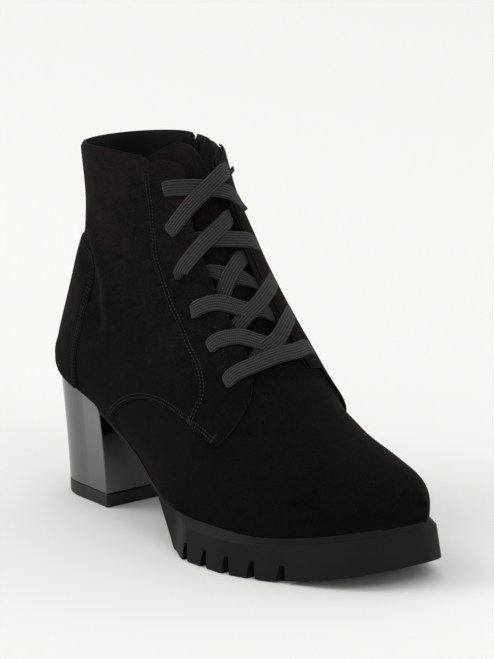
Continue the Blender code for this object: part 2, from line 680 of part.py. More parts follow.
def capped_rings(rings):
    """A closed solid through rings, with caps of strips from side to side so that a cap can curve."""
    form = bmesh.new()
    loops = [[form.verts.new(p) for p in ring] for ring in rings]
    count = len(loops[0])
    for below, above in zip(loops, loops[1:]):
        for k in range(count):
            form.faces.new((below[k], below[(k + 1) % count], above[(k + 1) % count], above[k]))
    for ring in (loops[0], loops[-1]):
        for k in range((count - 1) // 2):
            corners = [ring[k], ring[k + 1], ring[count - 2 - k], ring[count - 1 - k]]
            kept = [v for i, v in enumerate(corners) if v not in corners[:i]]
            form.faces.new(kept)
    bmesh.ops.recalc_face_normals(form, faces=form.faces)
    return form


def make_top_piece(look):
    top = HEEL_HEIGHT - SEAT_THICKNESS
    rings = [heel_ring(share, lambda x, z=z: z) for share, z in ((0, 0), (TOP_PIECE / top, TOP_PIECE))]
    return finish("heel_top_piece", mesh_of("heel_top_piece", capped_rings(rings)), look)


def make_insole(look):
    inset = 2 * WALL + GAP  # the wall leans out over the sole at the heel
    stations = rounded_stations(along(0.016) + inset, along(0.984) - inset, 34)

    def half(x):
        outer, inner = upper_edge(x)
        return outer - inset, inner - inset

    layers = [
        (lambda x: 0.0004, lambda x: float(sole_top(x)) + GAP),
        (lambda x: 0.0, lambda x: float(sole_top(x)) + INSOLE_THICKNESS * 0.5),
        (lambda x: 0.0003, lambda x: float(sole_top(x)) + INSOLE_THICKNESS),
    ]
    return dress(plan_solid("insole", stations, half, layers), look)


def band(name, path, width, thickness):
    """A flat band along a path of (point, outward direction) pairs, its inner face on the points."""
    rings = []
    for k, (point, normal) in enumerate(path):
        run = (path[min(k + 1, len(path) - 1)][0] - path[max(k - 1, 0)][0]).normalized()
        side = run.cross(normal).normalized()
        out = side.cross(run).normalized()
        if out.dot(normal) < 0:
            out = -out
        edge, crown = width / 2, thickness * 0.25
        rings.append([
            point - side * edge + out * crown, point - side * edge * 0.9, point + side * edge * 0.9,
            point + side * edge + out * crown, point + side * edge + out * (thickness - crown),
            point + side * edge * 0.9 + out * thickness, point - side * edge * 0.9 + out * thickness,
            point - side * edge + out * (thickness - crown),
        ])
    return finish(name, mesh_of(name, tube_form(rings)))


def strand(start, end, lifts, count=9):
    """A lace path between two (t, y) places, at distances out from the last that ease between lifts."""
    path = []
    for k in range(count):
        f = k / (count - 1)
        t = start[0] + (end[0] - start[0]) * f
        s = share_at_y(t, start[1] + (end[1] - start[1]) * f)
        lift = curve_at(lifts, 1, f)
        path.append((last_point(t, s) + last_normal(t, s) * float(lift), last_normal(t, s)))
    return path


def hole_y(hole, side):
    return THROAT_MIDDLE + side * HOLE_HALF * hole[1]


def throat_y(side, reach):
    return THROAT_MIDDLE + side * (THROAT_HALF * reach)


def make_laces(look):
    over = 2 * PANEL + LACE_LIFT
    flat = ((0.0, over), (0.5, over), (1.0, over))
    first = HOLES[0]
    bar = strand((first[0], hole_y(first, -1)), (first[0], hole_y(first, 1)), flat, 13)
    made = [dress(band("lace_bar", bar, LACE_WIDTH, LACE_THICKNESS), look)]
    # place of each end (hole or under the facing's edge) and which strand lies on top
    from_below, inside, from_hole, outside = "below", "inside", "hole", "outside"
    kinds = (from_below, from_below, inside, from_hole, outside)
    for level, kind in enumerate(kinds):
        low_hole, high_hole = HOLES[level], HOLES[level + 1]
        low, high = low_hole[0], high_hole[0]
        pieces = []
        for side in (-1, 1):
            extra = LACE_THICKNESS * 0.8 if side > 0 else 0.0
            if kind == from_below:
                ends = (low + LACE_ROOM, throat_y(side, 0.80)), (high, hole_y(high_hole, -side))
                lifts = ((0, 0), (0.28, over * 0.6 + extra), (0.5, over + extra), (0.75, over), (1, over))
            elif kind == inside:
                ends = (low + LACE_ROOM, throat_y(side, 0.72)), (high - LACE_ROOM, throat_y(-side, 0.72))
                seat = LACE_LIFT - tongue_depth((low + high) / 2)
                lifts = ((0, seat), (0.5, seat + LACE_THICKNESS * 0.6 + extra), (1, seat))
            elif kind == from_hole:
                ends = (low, hole_y(low_hole, side)), (high - LACE_DIP, throat_y(-side, 0.70))
                dip = LACE_LIFT + extra * 0.6
                end = LACE_LIFT * 0.6
                lifts = ((0, over), (0.3, over), (0.55, over * 0.8 + extra), (0.85, dip), (1, end))
            else:
                ends = (low, hole_y(low_hole, side)), (high, hole_y(high_hole, -side))
                lifts = ((0, over), (0.35, over + extra), (0.65, over + extra), (1, over))
            pieces.append(band(f"strand_{side}", strand(*ends, lifts), LACE_WIDTH, LACE_THICKNESS))
        cross = combine(pieces[0], pieces[1], "UNION")
        cross.name = f"lace_cross_{level + 1}"
        made.append(dress(cross, look))
    return made


def tongue_depth(t):
    """How far in from the last the tongue's outer face lies."""
    return WALL + float(curve_at(TONGUE_ROOM, 1, t))


def make_tongue(look):
    """A padded sheet under the throat, curved like the last and leaning back at its top."""
    first, last = 5.05, 13.9
    rows, columns = 18, 11

    def place(i, j, depth):
        t = first + (last - first) * j / (rows - 1)
        y = THROAT_MIDDLE + TONGUE_HALF * (2 * i / (columns - 1) - 1) * (0.92 + 0.10 * j / (rows - 1))
        s = share_at_y(t, y)
        base = last_point(t, s) - last_normal(t, s) * (tongue_depth(t) + depth)
        # the top end is an arch that stands a little over the topline
        crown = max(j - (rows - 5), 0) / 4
        arch = 1 - abs(2 * i / (columns - 1) - 1) ** 2.2
        return base + Vector((-0.002, 0, TONGUE_CROWN * arch)) * crown

    form = bmesh.new()
    for depth in (0, TONGUE_THICKNESS):
        skin = grid_form(columns, rows, lambda i, j: place(i, j, depth))
        mesh = mesh_of("skin", skin)
        form.from_mesh(mesh)
        bpy.data.meshes.remove(mesh)
    rims = [edge for edge in form.edges if edge.is_boundary]
    bmesh.ops.bridge_loops(form, edges=rims)
    bmesh.ops.recalc_face_normals(form, faces=form.faces)
    return finish("tongue", mesh_of("tongue", form), look)


def make_zip(tape_look, metal_look):
    back = -WALL - TAPE_CLEARANCE
    tape = zip_ribbon("zip_chain", ZIP_TAPE, back - TAPE_THICKNESS, back, ZIP_BOTTOM - 0.004, ZIP_TOP)
    teeth = zip_ribbon("teeth", ZIP_TEETH, back - TAPE_THICKNESS * 0.5, 0.0004, ZIP_BOTTOM, ZIP_TOP - 0.001)
    chain = dress(combine(tape, teeth, "UNION"), tape_look)

    t, s = medial_place(ZIP_X, ZIP_TOP - 0.006)
    normal = last_normal(t, s)
    turn = math.atan2(-normal.x, normal.y)
    seat = last_point(t, s) + Vector((normal.x, normal.y, 0)).normalized() * (PANEL + 0.0006)
    frame = Matrix.Translation(seat) @ Matrix.Rotation(turn, 4, "Z")
    slider = box("zip_slider", (0, SLIDER[1] / 2, -SLIDER[2] / 2), SLIDER, frame, 0.0006)
    # two lugs that carry the pull's pin
    pin_out = SLIDER[1] + 0.0014
    for side in (-1, 1):
        lug = box("lug", (side * 0.0026, SLIDER[1] + 0.0004, -0.0030), (0.0010, 0.0036, 0.0034), frame, 0)
        combine(slider, lug, "UNION")
    dress(slider, metal_look)
    arm = box("zip_pull", (0, pin_out, -0.0030 - PULL[2] / 2 + PULL_PIN / 2), PULL, frame, 0.0004)
    neck = box("notch", (0.0024, pin_out, -0.0030), (0.0022, 0.01, 0.0050), frame, 0)
    combine(arm, neck, "DIFFERENCE")
    neck = box("notch", (-0.0024, pin_out, -0.0030), (0.0022, 0.01, 0.0050), frame, 0)
    combine(arm, neck, "DIFFERENCE")
    return chain, slider, dress(arm, metal_look)


def box(name, centre, size, frame, bevel):
    form = bmesh.new()
    bmesh.ops.create_cube(form, size=1)
    bmesh.ops.scale(form, vec=size, verts=form.verts)
    bmesh.ops.translate(form, vec=centre, verts=form.verts)
    if bevel:
        bmesh.ops.bevel(
            form, geom=form.edges, offset=bevel, segments=1, affect="EDGES", profile=0.5, material=-1
        )
    bmesh.ops.transform(form, matrix=frame, verts=form.verts)
    return finish(name, mesh_of(name, form))


suede = material("brown_suede", (0.052, 0.040, 0.038), 0.9)
rubber = material("black_rubber", (0.022, 0.021, 0.022), 0.6)
lacquer = material("black_lacquer", (0.010, 0.010, 0.011), 0.12)
lining = material("lining_leather", (0.16, 0.13, 0.12), 0.7)
webbing = material("grey_webbing", (0.10, 0.10, 0.10), 0.85)
tape = material("zip_tape", (0.03, 0.028, 0.028), 0.8)
metal = material("nickel", (0.55, 0.54, 0.52), 0.3, 1.0)

make_outsole(rubber)
make_heel(lacquer)
make_top_piece(rubber)
make_insole(lining)
make_upper(suede)
make_tongue(suede)
make_laces(webbing)
make_zip(tape, metal)
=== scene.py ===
# Right lace-up ankle boot: the finished look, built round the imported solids.
# Metres, +X to the toe, +Y to the inner side of the foot, +Z up.
import math

import bmesh
import bpy
import numpy as np
from mathutils import Matrix, Vector


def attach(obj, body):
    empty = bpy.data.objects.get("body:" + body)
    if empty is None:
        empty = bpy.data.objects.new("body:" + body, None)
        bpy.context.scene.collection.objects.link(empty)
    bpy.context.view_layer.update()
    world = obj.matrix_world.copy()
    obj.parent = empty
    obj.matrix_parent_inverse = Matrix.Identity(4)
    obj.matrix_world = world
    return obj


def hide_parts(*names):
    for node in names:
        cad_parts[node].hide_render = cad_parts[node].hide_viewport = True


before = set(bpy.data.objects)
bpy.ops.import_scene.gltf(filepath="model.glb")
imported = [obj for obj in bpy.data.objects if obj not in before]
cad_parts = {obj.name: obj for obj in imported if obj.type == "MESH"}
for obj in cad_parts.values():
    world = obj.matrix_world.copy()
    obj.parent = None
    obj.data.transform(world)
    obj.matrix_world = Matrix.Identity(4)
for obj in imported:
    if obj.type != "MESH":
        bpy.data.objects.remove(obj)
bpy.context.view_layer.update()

# Last, the form that the boot is built on
last = {
    "length": 0.2525, "back": -0.0296, "ballWidth": 0.080, "instepHeight": 0.085,
    "collarHeight": 0.1795, "collarWidth": 0.057, "heelSeat": 0.0655, "platform": 0.0192,
    "lap": 0.003,  # how far the upper reaches down past the sole's top
}
# foot, ridge: place along the last; back: share of the back seam's rise; instep, shaft: shares of the
# ridge's height; middle, lean: sideways shift of sole line and ridge; ball, collar: half widths; edge:
# width at the sole as a share of the widest; belly: height of the widest place; square: 2 is an ellipse
sections = np.array((
    (0.988, 0.000, 1.000, 0.225, 0.000, 0.260, 0.300, 0.000, 0.000, 0.97, 0.30, 2.30),
    (0.974, 0.000, 0.980, 0.300, 0.000, 0.130, 0.170, 0.315, 0.000, 0.97, 0.28, 2.30),
    (0.938, 0.000, 0.935, 0.375, 0.000, 0.070, 0.120, 0.570, 0.000, 0.98, 0.25, 2.28),
    (0.874, 0.000, 0.860, 0.445, 0.000, 0.000, 0.070, 0.770, 0.000, 0.98, 0.24, 2.22),
    (0.769, 0.000, 0.760, 0.565, 0.000, -0.090, 0.000, 0.940, 0.000, 0.98, 0.22, 2.12),
    (0.643, 0.000, 0.665, 0.755, 0.000, -0.090, 0.060, 1.000, 0.000, 0.98, 0.22, 2.03),
    (0.510, 0.000, 0.596, 1.000, 0.000, -0.100, 0.100, 0.980, 0.000, 0.97, 0.24, 1.98),
    (0.379, 0.000, 0.540, 1.000, 0.220, -0.050, 0.115, 0.700, 0.310, 0.85, 0.28, 2.00),
    (0.230, 0.000, 0.507, 1.000, 0.382, 0.000, 0.115, 0.450, 0.610, 0.83, 0.31, 2.02),
    (0.087, 0.000, 0.487, 1.000, 0.500, 0.000, 0.120, 0.250, 0.865, 0.765, 0.36, 2.03),
    (0.014, 0.000, 0.475, 1.000, 0.580, 0.000, 0.110, 0.100, 1.020, 0.42, 0.40, 2.06),
    (0.000, 0.040, 0.462, 1.000, 0.667, 0.010, 0.095, 0.000, 1.075, 0.00, 0.43, 2.08),
    (0.034, 0.385, 0.447, 1.000, 0.780, 0.070, 0.080, 0.000, 0.920, 0.00, 0.46, 2.06),
    (0.080, 0.690, 0.429, 1.000, 0.890, 0.105, 0.040, 0.000, 0.940, 0.00, 0.45, 2.08),
    (0.088, 1.030, 0.408, 1.000, 1.030, 0.105, -0.020, 0.000, 1.000, 0.00, 0.42, 2.14),
))
lastRow = len(sections) - 1
backSeamRow = 11  # from this section up the two sides meet at the back
# line of the sole's top: place along the last, share of the rise to the heel seat
soleLine = (
    (-0.020, 1.000), (0.000, 1.000), (0.085, 0.905), (0.230, 0.710), (0.380, 0.345), (0.460, 0.140),
    (0.530, 0.045), (0.620, 0.000), (0.720, 0.000), (0.800, 0.028), (0.880, 0.090), (0.950, 0.170),
    (1.030, 0.260),
)
upperSizes = {
    "wall": 0.0018, "panel": 0.0008, "lining": 0.0007, "rim": 0.0016,
    "holeRadius": 0.0017, "throatMiddle": -0.001, "throatHalf": 0.0115, "holeHalf": 0.0205,
    "throatCorner": 0.011, "throatFoot": 0.010, "throatDepth": 0.030,
}
# the heel block's rim round the seat: where it starts behind the breast and how it rises to the back
rim = {"front": 0.0262, "back": -0.0258, "low": 0.0005, "rise": 0.0043}
zipSizes = {
    "place": 0.031, "slot": 0.0054, "low": 0.086, "high": 0.174, "tapeWidth": 0.0130, "tapeThickness": 0.0007,
    "toothPitch": 0.0017, "tooth": (0.0024, 0.0012, 0.0010),
}
# seams in side view: place along the last, height as a share
quarterEdge = (
    (0.301, 0.285), (0.291, 0.335), (0.287, 0.385), (0.318, 0.455), (0.353, 0.508), (0.397, 0.548),
    (0.442, 0.558), (0.479, 0.548), (0.525, 0.518), (0.556, 0.492), (0.595, 0.458), (0.629, 0.424),
    (0.641, 0.428), (0.658, 0.500), (0.664, 0.570), (0.661, 0.656), (0.652, 0.708), (0.645, 0.740),
)
facingEdge = (
    (0.554, 0.330), (0.557, 0.372), (0.564, 0.409), (0.553, 0.446), (0.531, 0.484), (0.498, 0.525),
    (0.469, 0.569), (0.432, 0.622), (0.401, 0.678), (0.377, 0.729), (0.366, 0.775), (0.352, 0.823),
    (0.347, 0.904), (0.350, 1.040),
)
counterEdge = (
    (0.166, 0.325), (0.166, 0.364), (0.170, 0.411), (0.178, 0.455), (0.192, 0.506), (0.197, 0.573),
    (0.193, 0.627), (0.176, 0.680), (0.152, 0.702), (0.100, 0.722), (0.000, 0.740),
)
throatEdge = ((-0.10, 1.62), (0.02, 1.34), (0.12, 1.12), (0.28, 1.03), (0.60, 0.97), (0.93, 0.80))
# lace holes from the lowest up: place in sections, distance from the throat's middle as a share
holeRows = ((5.62, 1.15), (6.42, 1.05), (7.30, 0.98), (8.45, 0.86), (10.95, 0.76), (12.75, 0.72))
topline = ((-0.20, -0.003), (0.05, -0.0025), (0.22, 0), (0.34, -0.0012), (0.40, -0.0030), (0.50, -0.011))
# folds of the worn-in leather: side (-1 outer, 1 inner), half width, height (minus is a trough) and
# the line of its middle in side view (x, z)
folds = (
    (-1, 0.0042, 0.0015, ((0.0110, 0.1385), (0.0185, 0.1300), (0.0250, 0.1240), (0.0330, 0.1175), (0.0390, 0.1060))),
    (-1, 0.0060, -0.0030, ((0.0040, 0.1300), (0.0110, 0.1240), (0.0180, 0.1165), (0.0250, 0.1080), (0.0300, 0.0960))),
    (-1, 0.0080, -0.0012, ((0.0560, 0.1180), (0.0660, 0.1010), (0.0700, 0.0850))),
    (1, 0.0060, -0.0024, ((0.0050, 0.1290), (0.0120, 0.1220), (0.0200, 0.1130), (0.0240, 0.1020))),
    (1, 0.0080, -0.0012, ((0.0540, 0.1200), (0.0640, 0.1030), (0.0680, 0.0860))),
    (-1, 0.0070, -0.0008, ((0.1380, 0.0500), (0.1450, 0.0580), (0.1480, 0.0640))),
    (1, 0.0070, -0.0008, ((0.1360, 0.0500), (0.1430, 0.0580), (0.1460, 0.0640))),
)


def curveAt(table, column, x):
    # smooth curve through a column of a table, without overshoot between its rows
    xs = np.array([row[0] for row in table], float)
    ys = np.array([row[column] for row in table], float)
    step = np.diff(xs)
    rise = np.diff(ys) / step
    slope = np.concatenate([rise[:1], np.zeros(len(xs) - 2), rise[-1:]])
    for i in range(1, len(xs) - 1):
        if rise[i - 1] * rise[i] > 0:
            before, after = 2 * step[i] + step[i - 1], step[i] + 2 * step[i - 1]
            slope[i] = (before + after) / (before / rise[i - 1] + after / rise[i])
    x = np.clip(x, xs[0], xs[-1])
    i = np.clip(np.searchsorted(xs, x) - 1, 0, len(step) - 1)
    f = (x - xs[i]) / step[i]
    start = (2 * f**3 - 3 * f**2 + 1) * ys[i] + (f**3 - 2 * f**2 + f) * step[i] * slope[i]
    end = (3 * f**2 - 2 * f**3) * ys[i + 1] + (f**3 - f**2) * step[i] * slope[i + 1]
    return start + end


def between(a, b, c, d, f):
    # the point at share f between b and c on a smooth curve through all four
    return 0.5 * (2 * b + (c - a) * f + (2 * a - 5 * b + 4 * c - d) * f**2 + (3 * b - a - 3 * c + d) * f**3)


def smoothLine(points, steps=8):
    rows = np.array(points, float)
    rows = np.vstack([2 * rows[0] - rows[1], rows, 2 * rows[-1] - rows[-2]])
    found = [between(*rows[i : i + 4], k / steps) for i in range(len(rows) - 3) for k in range(steps)]
    return np.array(found + [rows[-2]])


def spaced(line, pitch):
    # points at even steps along a line
    line = np.array(line, float)
    lengths = np.concatenate([[0], np.cumsum(np.linalg.norm(np.diff(line, axis=0), axis=1))])
    places = np.linspace(0, lengths[-1], max(int(round(lengths[-1] / pitch)), 1) + 1)
    return np.stack([np.interp(places, lengths, line[:, k]) for k in range(line.shape[1])], axis=1)


def along(share):
    return last["back"] + np.asarray(share, float) * last["length"]


def soleTop(x):
    share = (np.asarray(x, float) - last["back"]) / last["length"]
    return last["platform"] + (last["heelSeat"] - last["platform"]) * curveAt(soleLine, 1, share)


def sectionRows(t):
    flip = np.array([1, 1, 1, 1, 1, 1, 1, -1, -1, 1, 1, 1])
    rows = np.vstack([sections[1] * flip, sections, 2 * sections[-1] - sections[-2]])
    i = np.clip(t.astype(int), 0, lastRow - 1)
    return between(rows[i], rows[i + 1], rows[i + 2], rows[i + 3], (t - i)[:, None])


def lastPoints(t, s):
    # s runs from the outer sole edge (0) over the ridge (0.5) to the inner sole edge (1)
    t, s = np.broadcast_arrays(np.asarray(t, float), np.asarray(s, float))
    t, s = t.ravel(), s.ravel()
    foot, back, ridge, instep, shaft, middle, lean, ball, collar, edge, belly, square = sectionRows(t).T
    footX, ridgeX = along(foot), along(ridge)
    shaftRise = last["collarHeight"] - last["platform"] - last["instepHeight"]
    footZ = soleTop(footX) + back * (last["collarHeight"] - last["heelSeat"])
    footZ = footZ - last["lap"] * np.clip(10.5 - t, 0, 1)
    ridgeZ = last["platform"] + instep * last["instepHeight"] + shaft * shaftRise
    widest = ball * last["ballWidth"] / 2 + collar * last["collarWidth"] / 2
    power = 2 / square
    start = -np.arccos(np.clip(edge, 0, 0.985) ** (1 / power))
    angle = start + (math.pi / 2 - start) * (1 - np.abs(2 * s - 1))
    above = belly + (1 - belly) * np.maximum(np.sin(angle), 0) ** power
    below = belly * (1 - np.maximum(np.sin(angle) / np.sin(start), 0) ** power)
    height = np.where(angle > 0, above, below)
    half = widest * np.maximum(np.cos(angle), 0) ** power
    y = (middle + (lean - middle) * height) * last["ballWidth"] / 2 + np.where(s < 0.5, -half, half)
    return np.stack([footX + (ridgeX - footX) * height, y, footZ + (ridgeZ - footZ) * height], axis=1)


def lastNormals(t, s):
    dt, ds = 0.02, 0.004
    t, s = np.broadcast_arrays(np.asarray(t, float), np.asarray(s, float))
    t = np.clip(t.ravel(), dt, lastRow - dt)
    s = np.clip(s.ravel(), ds, 1 - ds)
    over = lastPoints(t, s + ds) - lastPoints(t, s - ds)
    forward = lastPoints(t + dt, s) - lastPoints(t - dt, s)
    normal = np.cross(over, forward)
    return normal / np.linalg.norm(normal, axis=1)[:, None]


def lineDistance(line, points):
    # distance from each point to a line of short runs, in the plane
    line = np.array(line, float)
    best = np.full(len(points), np.inf)
    for start, end in zip(line[:-1], line[1:]):
        run = end - start
        share = np.clip((points - start) @ run / max(run @ run, 1e-12), 0, 1)
        best = np.minimum(best, np.linalg.norm(points - start - share[:, None] * run, axis=1))
    return best


def creases(points):
    # how far the folds push the leather out
    push = np.zeros(len(points))
    for side, width, height, middle in folds:
        near = np.exp(-((lineDistance(smoothLine(middle, 4), points[:, [0, 2]]) / width) ** 2))
        push += height * near * np.clip(0.5 + side * points[:, 1] / 0.010, 0, 1)
    return push


def skin(t, s, lift):
    # points at a distance out from the last, folds included
    base = lastPoints(t, s)
    return base + lastNormals(t, s) * (lift + creases(base))[:, None]


def shareAtY(t, y):
    # the place round the sections, near the ridge, at sideways position y
    t, y = np.atleast_1d(np.asarray(t, float)), np.atleast_1d(np.asarray(y, float))
    low, high = np.full(len(t), 0.2), np.full(len(t), 0.8)
    for _ in range(30):
        middle = (low + high) / 2
        less = lastPoints(t, middle)[:, 1] < y
        low, high = np.where(less, middle, low), np.where(less, high, middle)
    return (low + high) / 2


def placeInSide(side, line):
    # (t, s) of points given in side view, on the outer or the inner side
    rows, columns = np.meshgrid(np.linspace(0, lastRow, 281), np.linspace(0.004, 0.496, 90), indexing="ij")
    t, s = rows.ravel(), columns.ravel() if side < 0 else 1 - columns.ravel()
    cloud = lastPoints(t, s)[:, [0, 2]]
    nearest = [int(np.argmin(((cloud - point) ** 2).sum(axis=1))) for point in line]
    t, s = t[nearest].copy(), s[nearest].copy()
    for _ in range(4):
        here = lastPoints(t, s)[:, [0, 2]]
        miss = line - here
        byT = (lastPoints(t + 0.01, s)[:, [0, 2]] - here) / 0.01
        byS = (lastPoints(t, s + 0.002)[:, [0, 2]] - here) / 0.002
        whole = byT[:, 0] * byS[:, 1] - byS[:, 0] * byT[:, 1]
        whole = np.where(np.abs(whole) < 1e-7, 1e-7, whole)
        stepT = 0.8 * (miss[:, 0] * byS[:, 1] - byS[:, 0] * miss[:, 1]) / whole
        stepS = 0.8 * (byT[:, 0] * miss[:, 1] - miss[:, 0] * byT[:, 1]) / whole
        t = np.clip(t + np.clip(stepT, -0.1, 0.1), 0, lastRow)
        s = np.clip(s + np.clip(stepS, -0.02, 0.02), 0, 1)
    return t, s


def insideOf(outline):
    # level function: how far inside a closed outline in side view a point is
    outline = np.array(outline, float)

    def level(points):
        flat = points[:, [0, 2]]
        ring = np.vstack([outline, outline[:1]])
        distance = lineDistance(ring, flat)
        odd = np.zeros(len(flat), bool)
        for (x0, z0), (x1, z1) in zip(ring[:-1], ring[1:]):
            if z0 == z1:
                continue
            crosses = (z0 > flat[:, 1]) != (z1 > flat[:, 1])
            odd ^= crosses & (flat[:, 0] < x0 + (flat[:, 1] - z0) * (x1 - x0) / (z1 - z0))
        return np.where(odd, distance, -distance)

    return level


def sideLine(points, scale):
    line = smoothLine(points)
    return np.stack([along(line[:, 0]), scale(line[:, 1])], axis=1)


def overPlatform(share):
    return last["platform"] + share * last["instepHeight"]


def ofCollar(share):
    return share * last["collarHeight"]


def toplineAt(x):
    line = smoothLine([(float(along(a)), last["collarHeight"] + b) for a, b in topline])
    return np.interp(x, line[:, 0], line[:, 1])


def underTopline(points):
    return toplineAt(points[:, 0]) - points[:, 2]


def overSole(points):
    return points[:, 2] - soleTop(points[:, 0]) + 0.0008


def rimRise(x):
    return rim["low"] + rim["rise"] * np.clip((rim["front"] - x) / (rim["front"] - rim["back"]), 0, 1) ** 1.5


def overRim(points):
    # over the heel the leather ends at the rim of the heel block, further on it goes down behind the sole's edge
    x = points[:, 0]
    fade = np.clip((x - rim["front"]) / 0.0014, 0, 1)
    return points[:, 2] - soleTop(x) - rimRise(x) * (1 - fade) + 0.0008 * fade


def besideThroat(points, narrow=0.0, foot=-0.25):
    # how far outside the throat's opening a point lies; foot is where the opening ends, as a share
    low = np.array([along(0.665), last["platform"] + 0.755 * last["instepHeight"]])
    high = np.array([along(0.408), last["collarHeight"]])
    length = np.linalg.norm(high - low)
    up = (high - low) / length
    share = (points[:, [0, 2]] - low) @ up / length
    behind = np.abs((points[:, [0, 2]] - low) @ np.array([up[1], -up[0]])) - upperSizes["throatDepth"]
    half = upperSizes["throatHalf"] * curveAt(throatEdge, 1, share) - narrow
    corner = upperSizes["throatCorner"]
    over = np.clip((share - 0.93) * length, 0, corner)
    half = half + corner - np.sqrt(corner**2 - over**2)
    under = np.clip((foot - share) * length / upperSizes["throatFoot"], 0, 1)
    half = half * np.sqrt(1 - under**2)
    below = (foot - share) * length - upperSizes["throatFoot"]
    return np.maximum.reduce([np.abs(points[:, 1] - upperSizes["throatMiddle"]) - half, below, behind])


def besideZip(points):
    # how far outside the zip's slot a point lies, on the inner side
    across = np.abs(points[:, 0] - zipSizes["place"]) - zipSizes["slot"] / 2
    return np.where(points[:, 1] > 0, np.maximum(across, zipSizes["low"] - points[:, 2]), 1.0)


def holePlace(row, side):
    y = upperSizes["throatMiddle"] + side * upperSizes["holeHalf"] * row[1]
    return row[0], float(shareAtY(row[0], y)[0])


def clearOfHoles(points):
    away = np.full(len(points), np.inf)
    for row in holeRows:
        for side in (-1, 1):
            t, s = holePlace(row, side)
            middle, axis = lastPoints(t, s)[0], lastNormals(t, s)[0]
            offset = points - middle
            depth = offset @ axis
            radial = np.linalg.norm(offset - depth[:, None] * axis, axis=1)
            away = np.minimum(away, np.where(np.abs(depth) < 0.012, radial, np.inf))
    return away - upperSizes["holeRadius"]


def gridForm(columns, rows, uv=None):
    # a flat bmesh grid, with the column and row of each vertex in its place
    form = bmesh.new()
    bmesh.ops.create_grid(form, x_segments=columns - 1, y_segments=rows - 1, size=0.5)
    place = np.array([vert.co[:2] for vert in form.verts])
    ij = np.rint((place + 0.5) * (columns - 1, rows - 1)).astype(int)
    if uv:
        layer = form.loops.layers.uv.new("UVMap")
        for face in form.faces:
            for loop in face.loops:
                loop[layer].uv = uv(*ij[loop.vert.index])
    return form, ij


def moveTo(form, places):
    for vert, place in zip(form.verts, places):
        vert.co = place


def trim(form, level):
    # cuts the surface along the line where level is nought and keeps the side where it is more
    values = level(np.array([vert.co for vert in form.verts]))
    values = np.where(np.abs(values) < 1e-7, 1e-7, values)
    value = dict(zip(form.verts, values))
    fresh = []
    for edge in list(form.edges):
        first, second = edge.verts
        a, b = value[first], value[second]
        if a * b < 0:
            made = bmesh.utils.edge_split(edge, first, a / (a - b))[1]
            value[made] = 0.0
            fresh.append(made)
    if fresh:
        bmesh.ops.connect_verts(form, verts=fresh)
    bmesh.ops.delete(form, geom=[vert for vert in form.verts if value[vert] < 0], context="VERTS")


def pieceOf(name, form, *looks, smooth=40, outward=False):
    if outward:
        bmesh.ops.recalc_face_normals(form, faces=form.faces)
        if form.calc_volume(signed=True) < 0:
            bmesh.ops.reverse_faces(form, faces=form.faces)
    mesh = bpy.data.meshes.new(name)
    form.to_mesh(mesh)
    form.free()
    for look in looks:
        mesh.materials.append(look)
    mesh.shade_smooth()
    mesh.set_sharp_from_angle(angle=math.radians(smooth))
    piece = bpy.data.objects.new(name, mesh)
    bpy.context.scene.collection.objects.link(piece)
    return piece


def leatherPiece(name, tRange, sRange, cells, lift, thickness, keeps, look, rimLook):
    # one cut piece of leather: a patch of the last's surface, trimmed to its outline, with a real thickness
    columns, rows = cells
    form, ij = gridForm(columns, rows)
    t = tRange[0] + (tRange[1] - tRange[0]) * ij[:, 1] / (rows - 1)
    s = sRange[0] + (sRange[1] - sRange[0]) * ij[:, 0] / (columns - 1)
    base = lastPoints(t, s)
    moveTo(form, skin(t, s, lift(base)))
    bmesh.ops.remove_doubles(form, verts=form.verts, dist=1e-6)
    for keep in keeps:
        trim(form, keep)
    piece = pieceOf(name, form, look, rimLook)
    wall = piece.modifiers.new("thickness", "SOLIDIFY")
    wall.thickness, wall.offset, wall.use_even_offset = thickness, -1, False
    wall.material_offset_rim = 1
    return piece


# Materials
def linear(code):
    # sRGB hex to linear colour
    parts = [int(code[i : i + 2], 16) / 255 for i in (1, 3, 5)]
    return tuple(p / 12.92 if p <= 0.04045 else ((p + 0.055) / 1.055) ** 2.4 for p in parts) + (1.0,)


def newMaterial(name, **values):
    made = bpy.data.materials.new(name)
    made.use_nodes = True
    shader = made.node_tree.nodes["Principled BSDF"]
    for socket, value in values.items():
        shader.inputs[socket.replace("_", " ")].default_value = value
    return made, made.node_tree, shader


def addNode(tree, kind, settings=None, values=None, links=None):
    node = tree.nodes.new(kind)
    for key, value in (settings or {}).items():
        setattr(node, key, value)
    for key, value in (values or {}).items():
        node.inputs[key].default_value = value
    for key, source in (links or {}).items():
        tree.links.new(source, node.inputs[key])
    return node


def perMetre(millimetres):
    # a noise scale whose patches are about this size
    return 1000 / millimetres


def rampOf(tree, source, stops, interpolation="EASE"):
    ramp = addNode(tree, "ShaderNodeValToRGB", links={"Fac": source})
    ramp.color_ramp.interpolation = interpolation
    elements = ramp.color_ramp.elements
    while len(elements) < len(stops):
        elements.new(0.5)
    for element, (place, colour) in zip(elements, stops):
        element.position, element.color = place, colour
    return ramp


suedeLook = {
    "dark": "#050405", "middle": "#0d0b0b", "light": "#1d1a19",
    "patch": 26, "mottle": 5.5, "nap": 0.80, "napHeight": 0.00030,
}


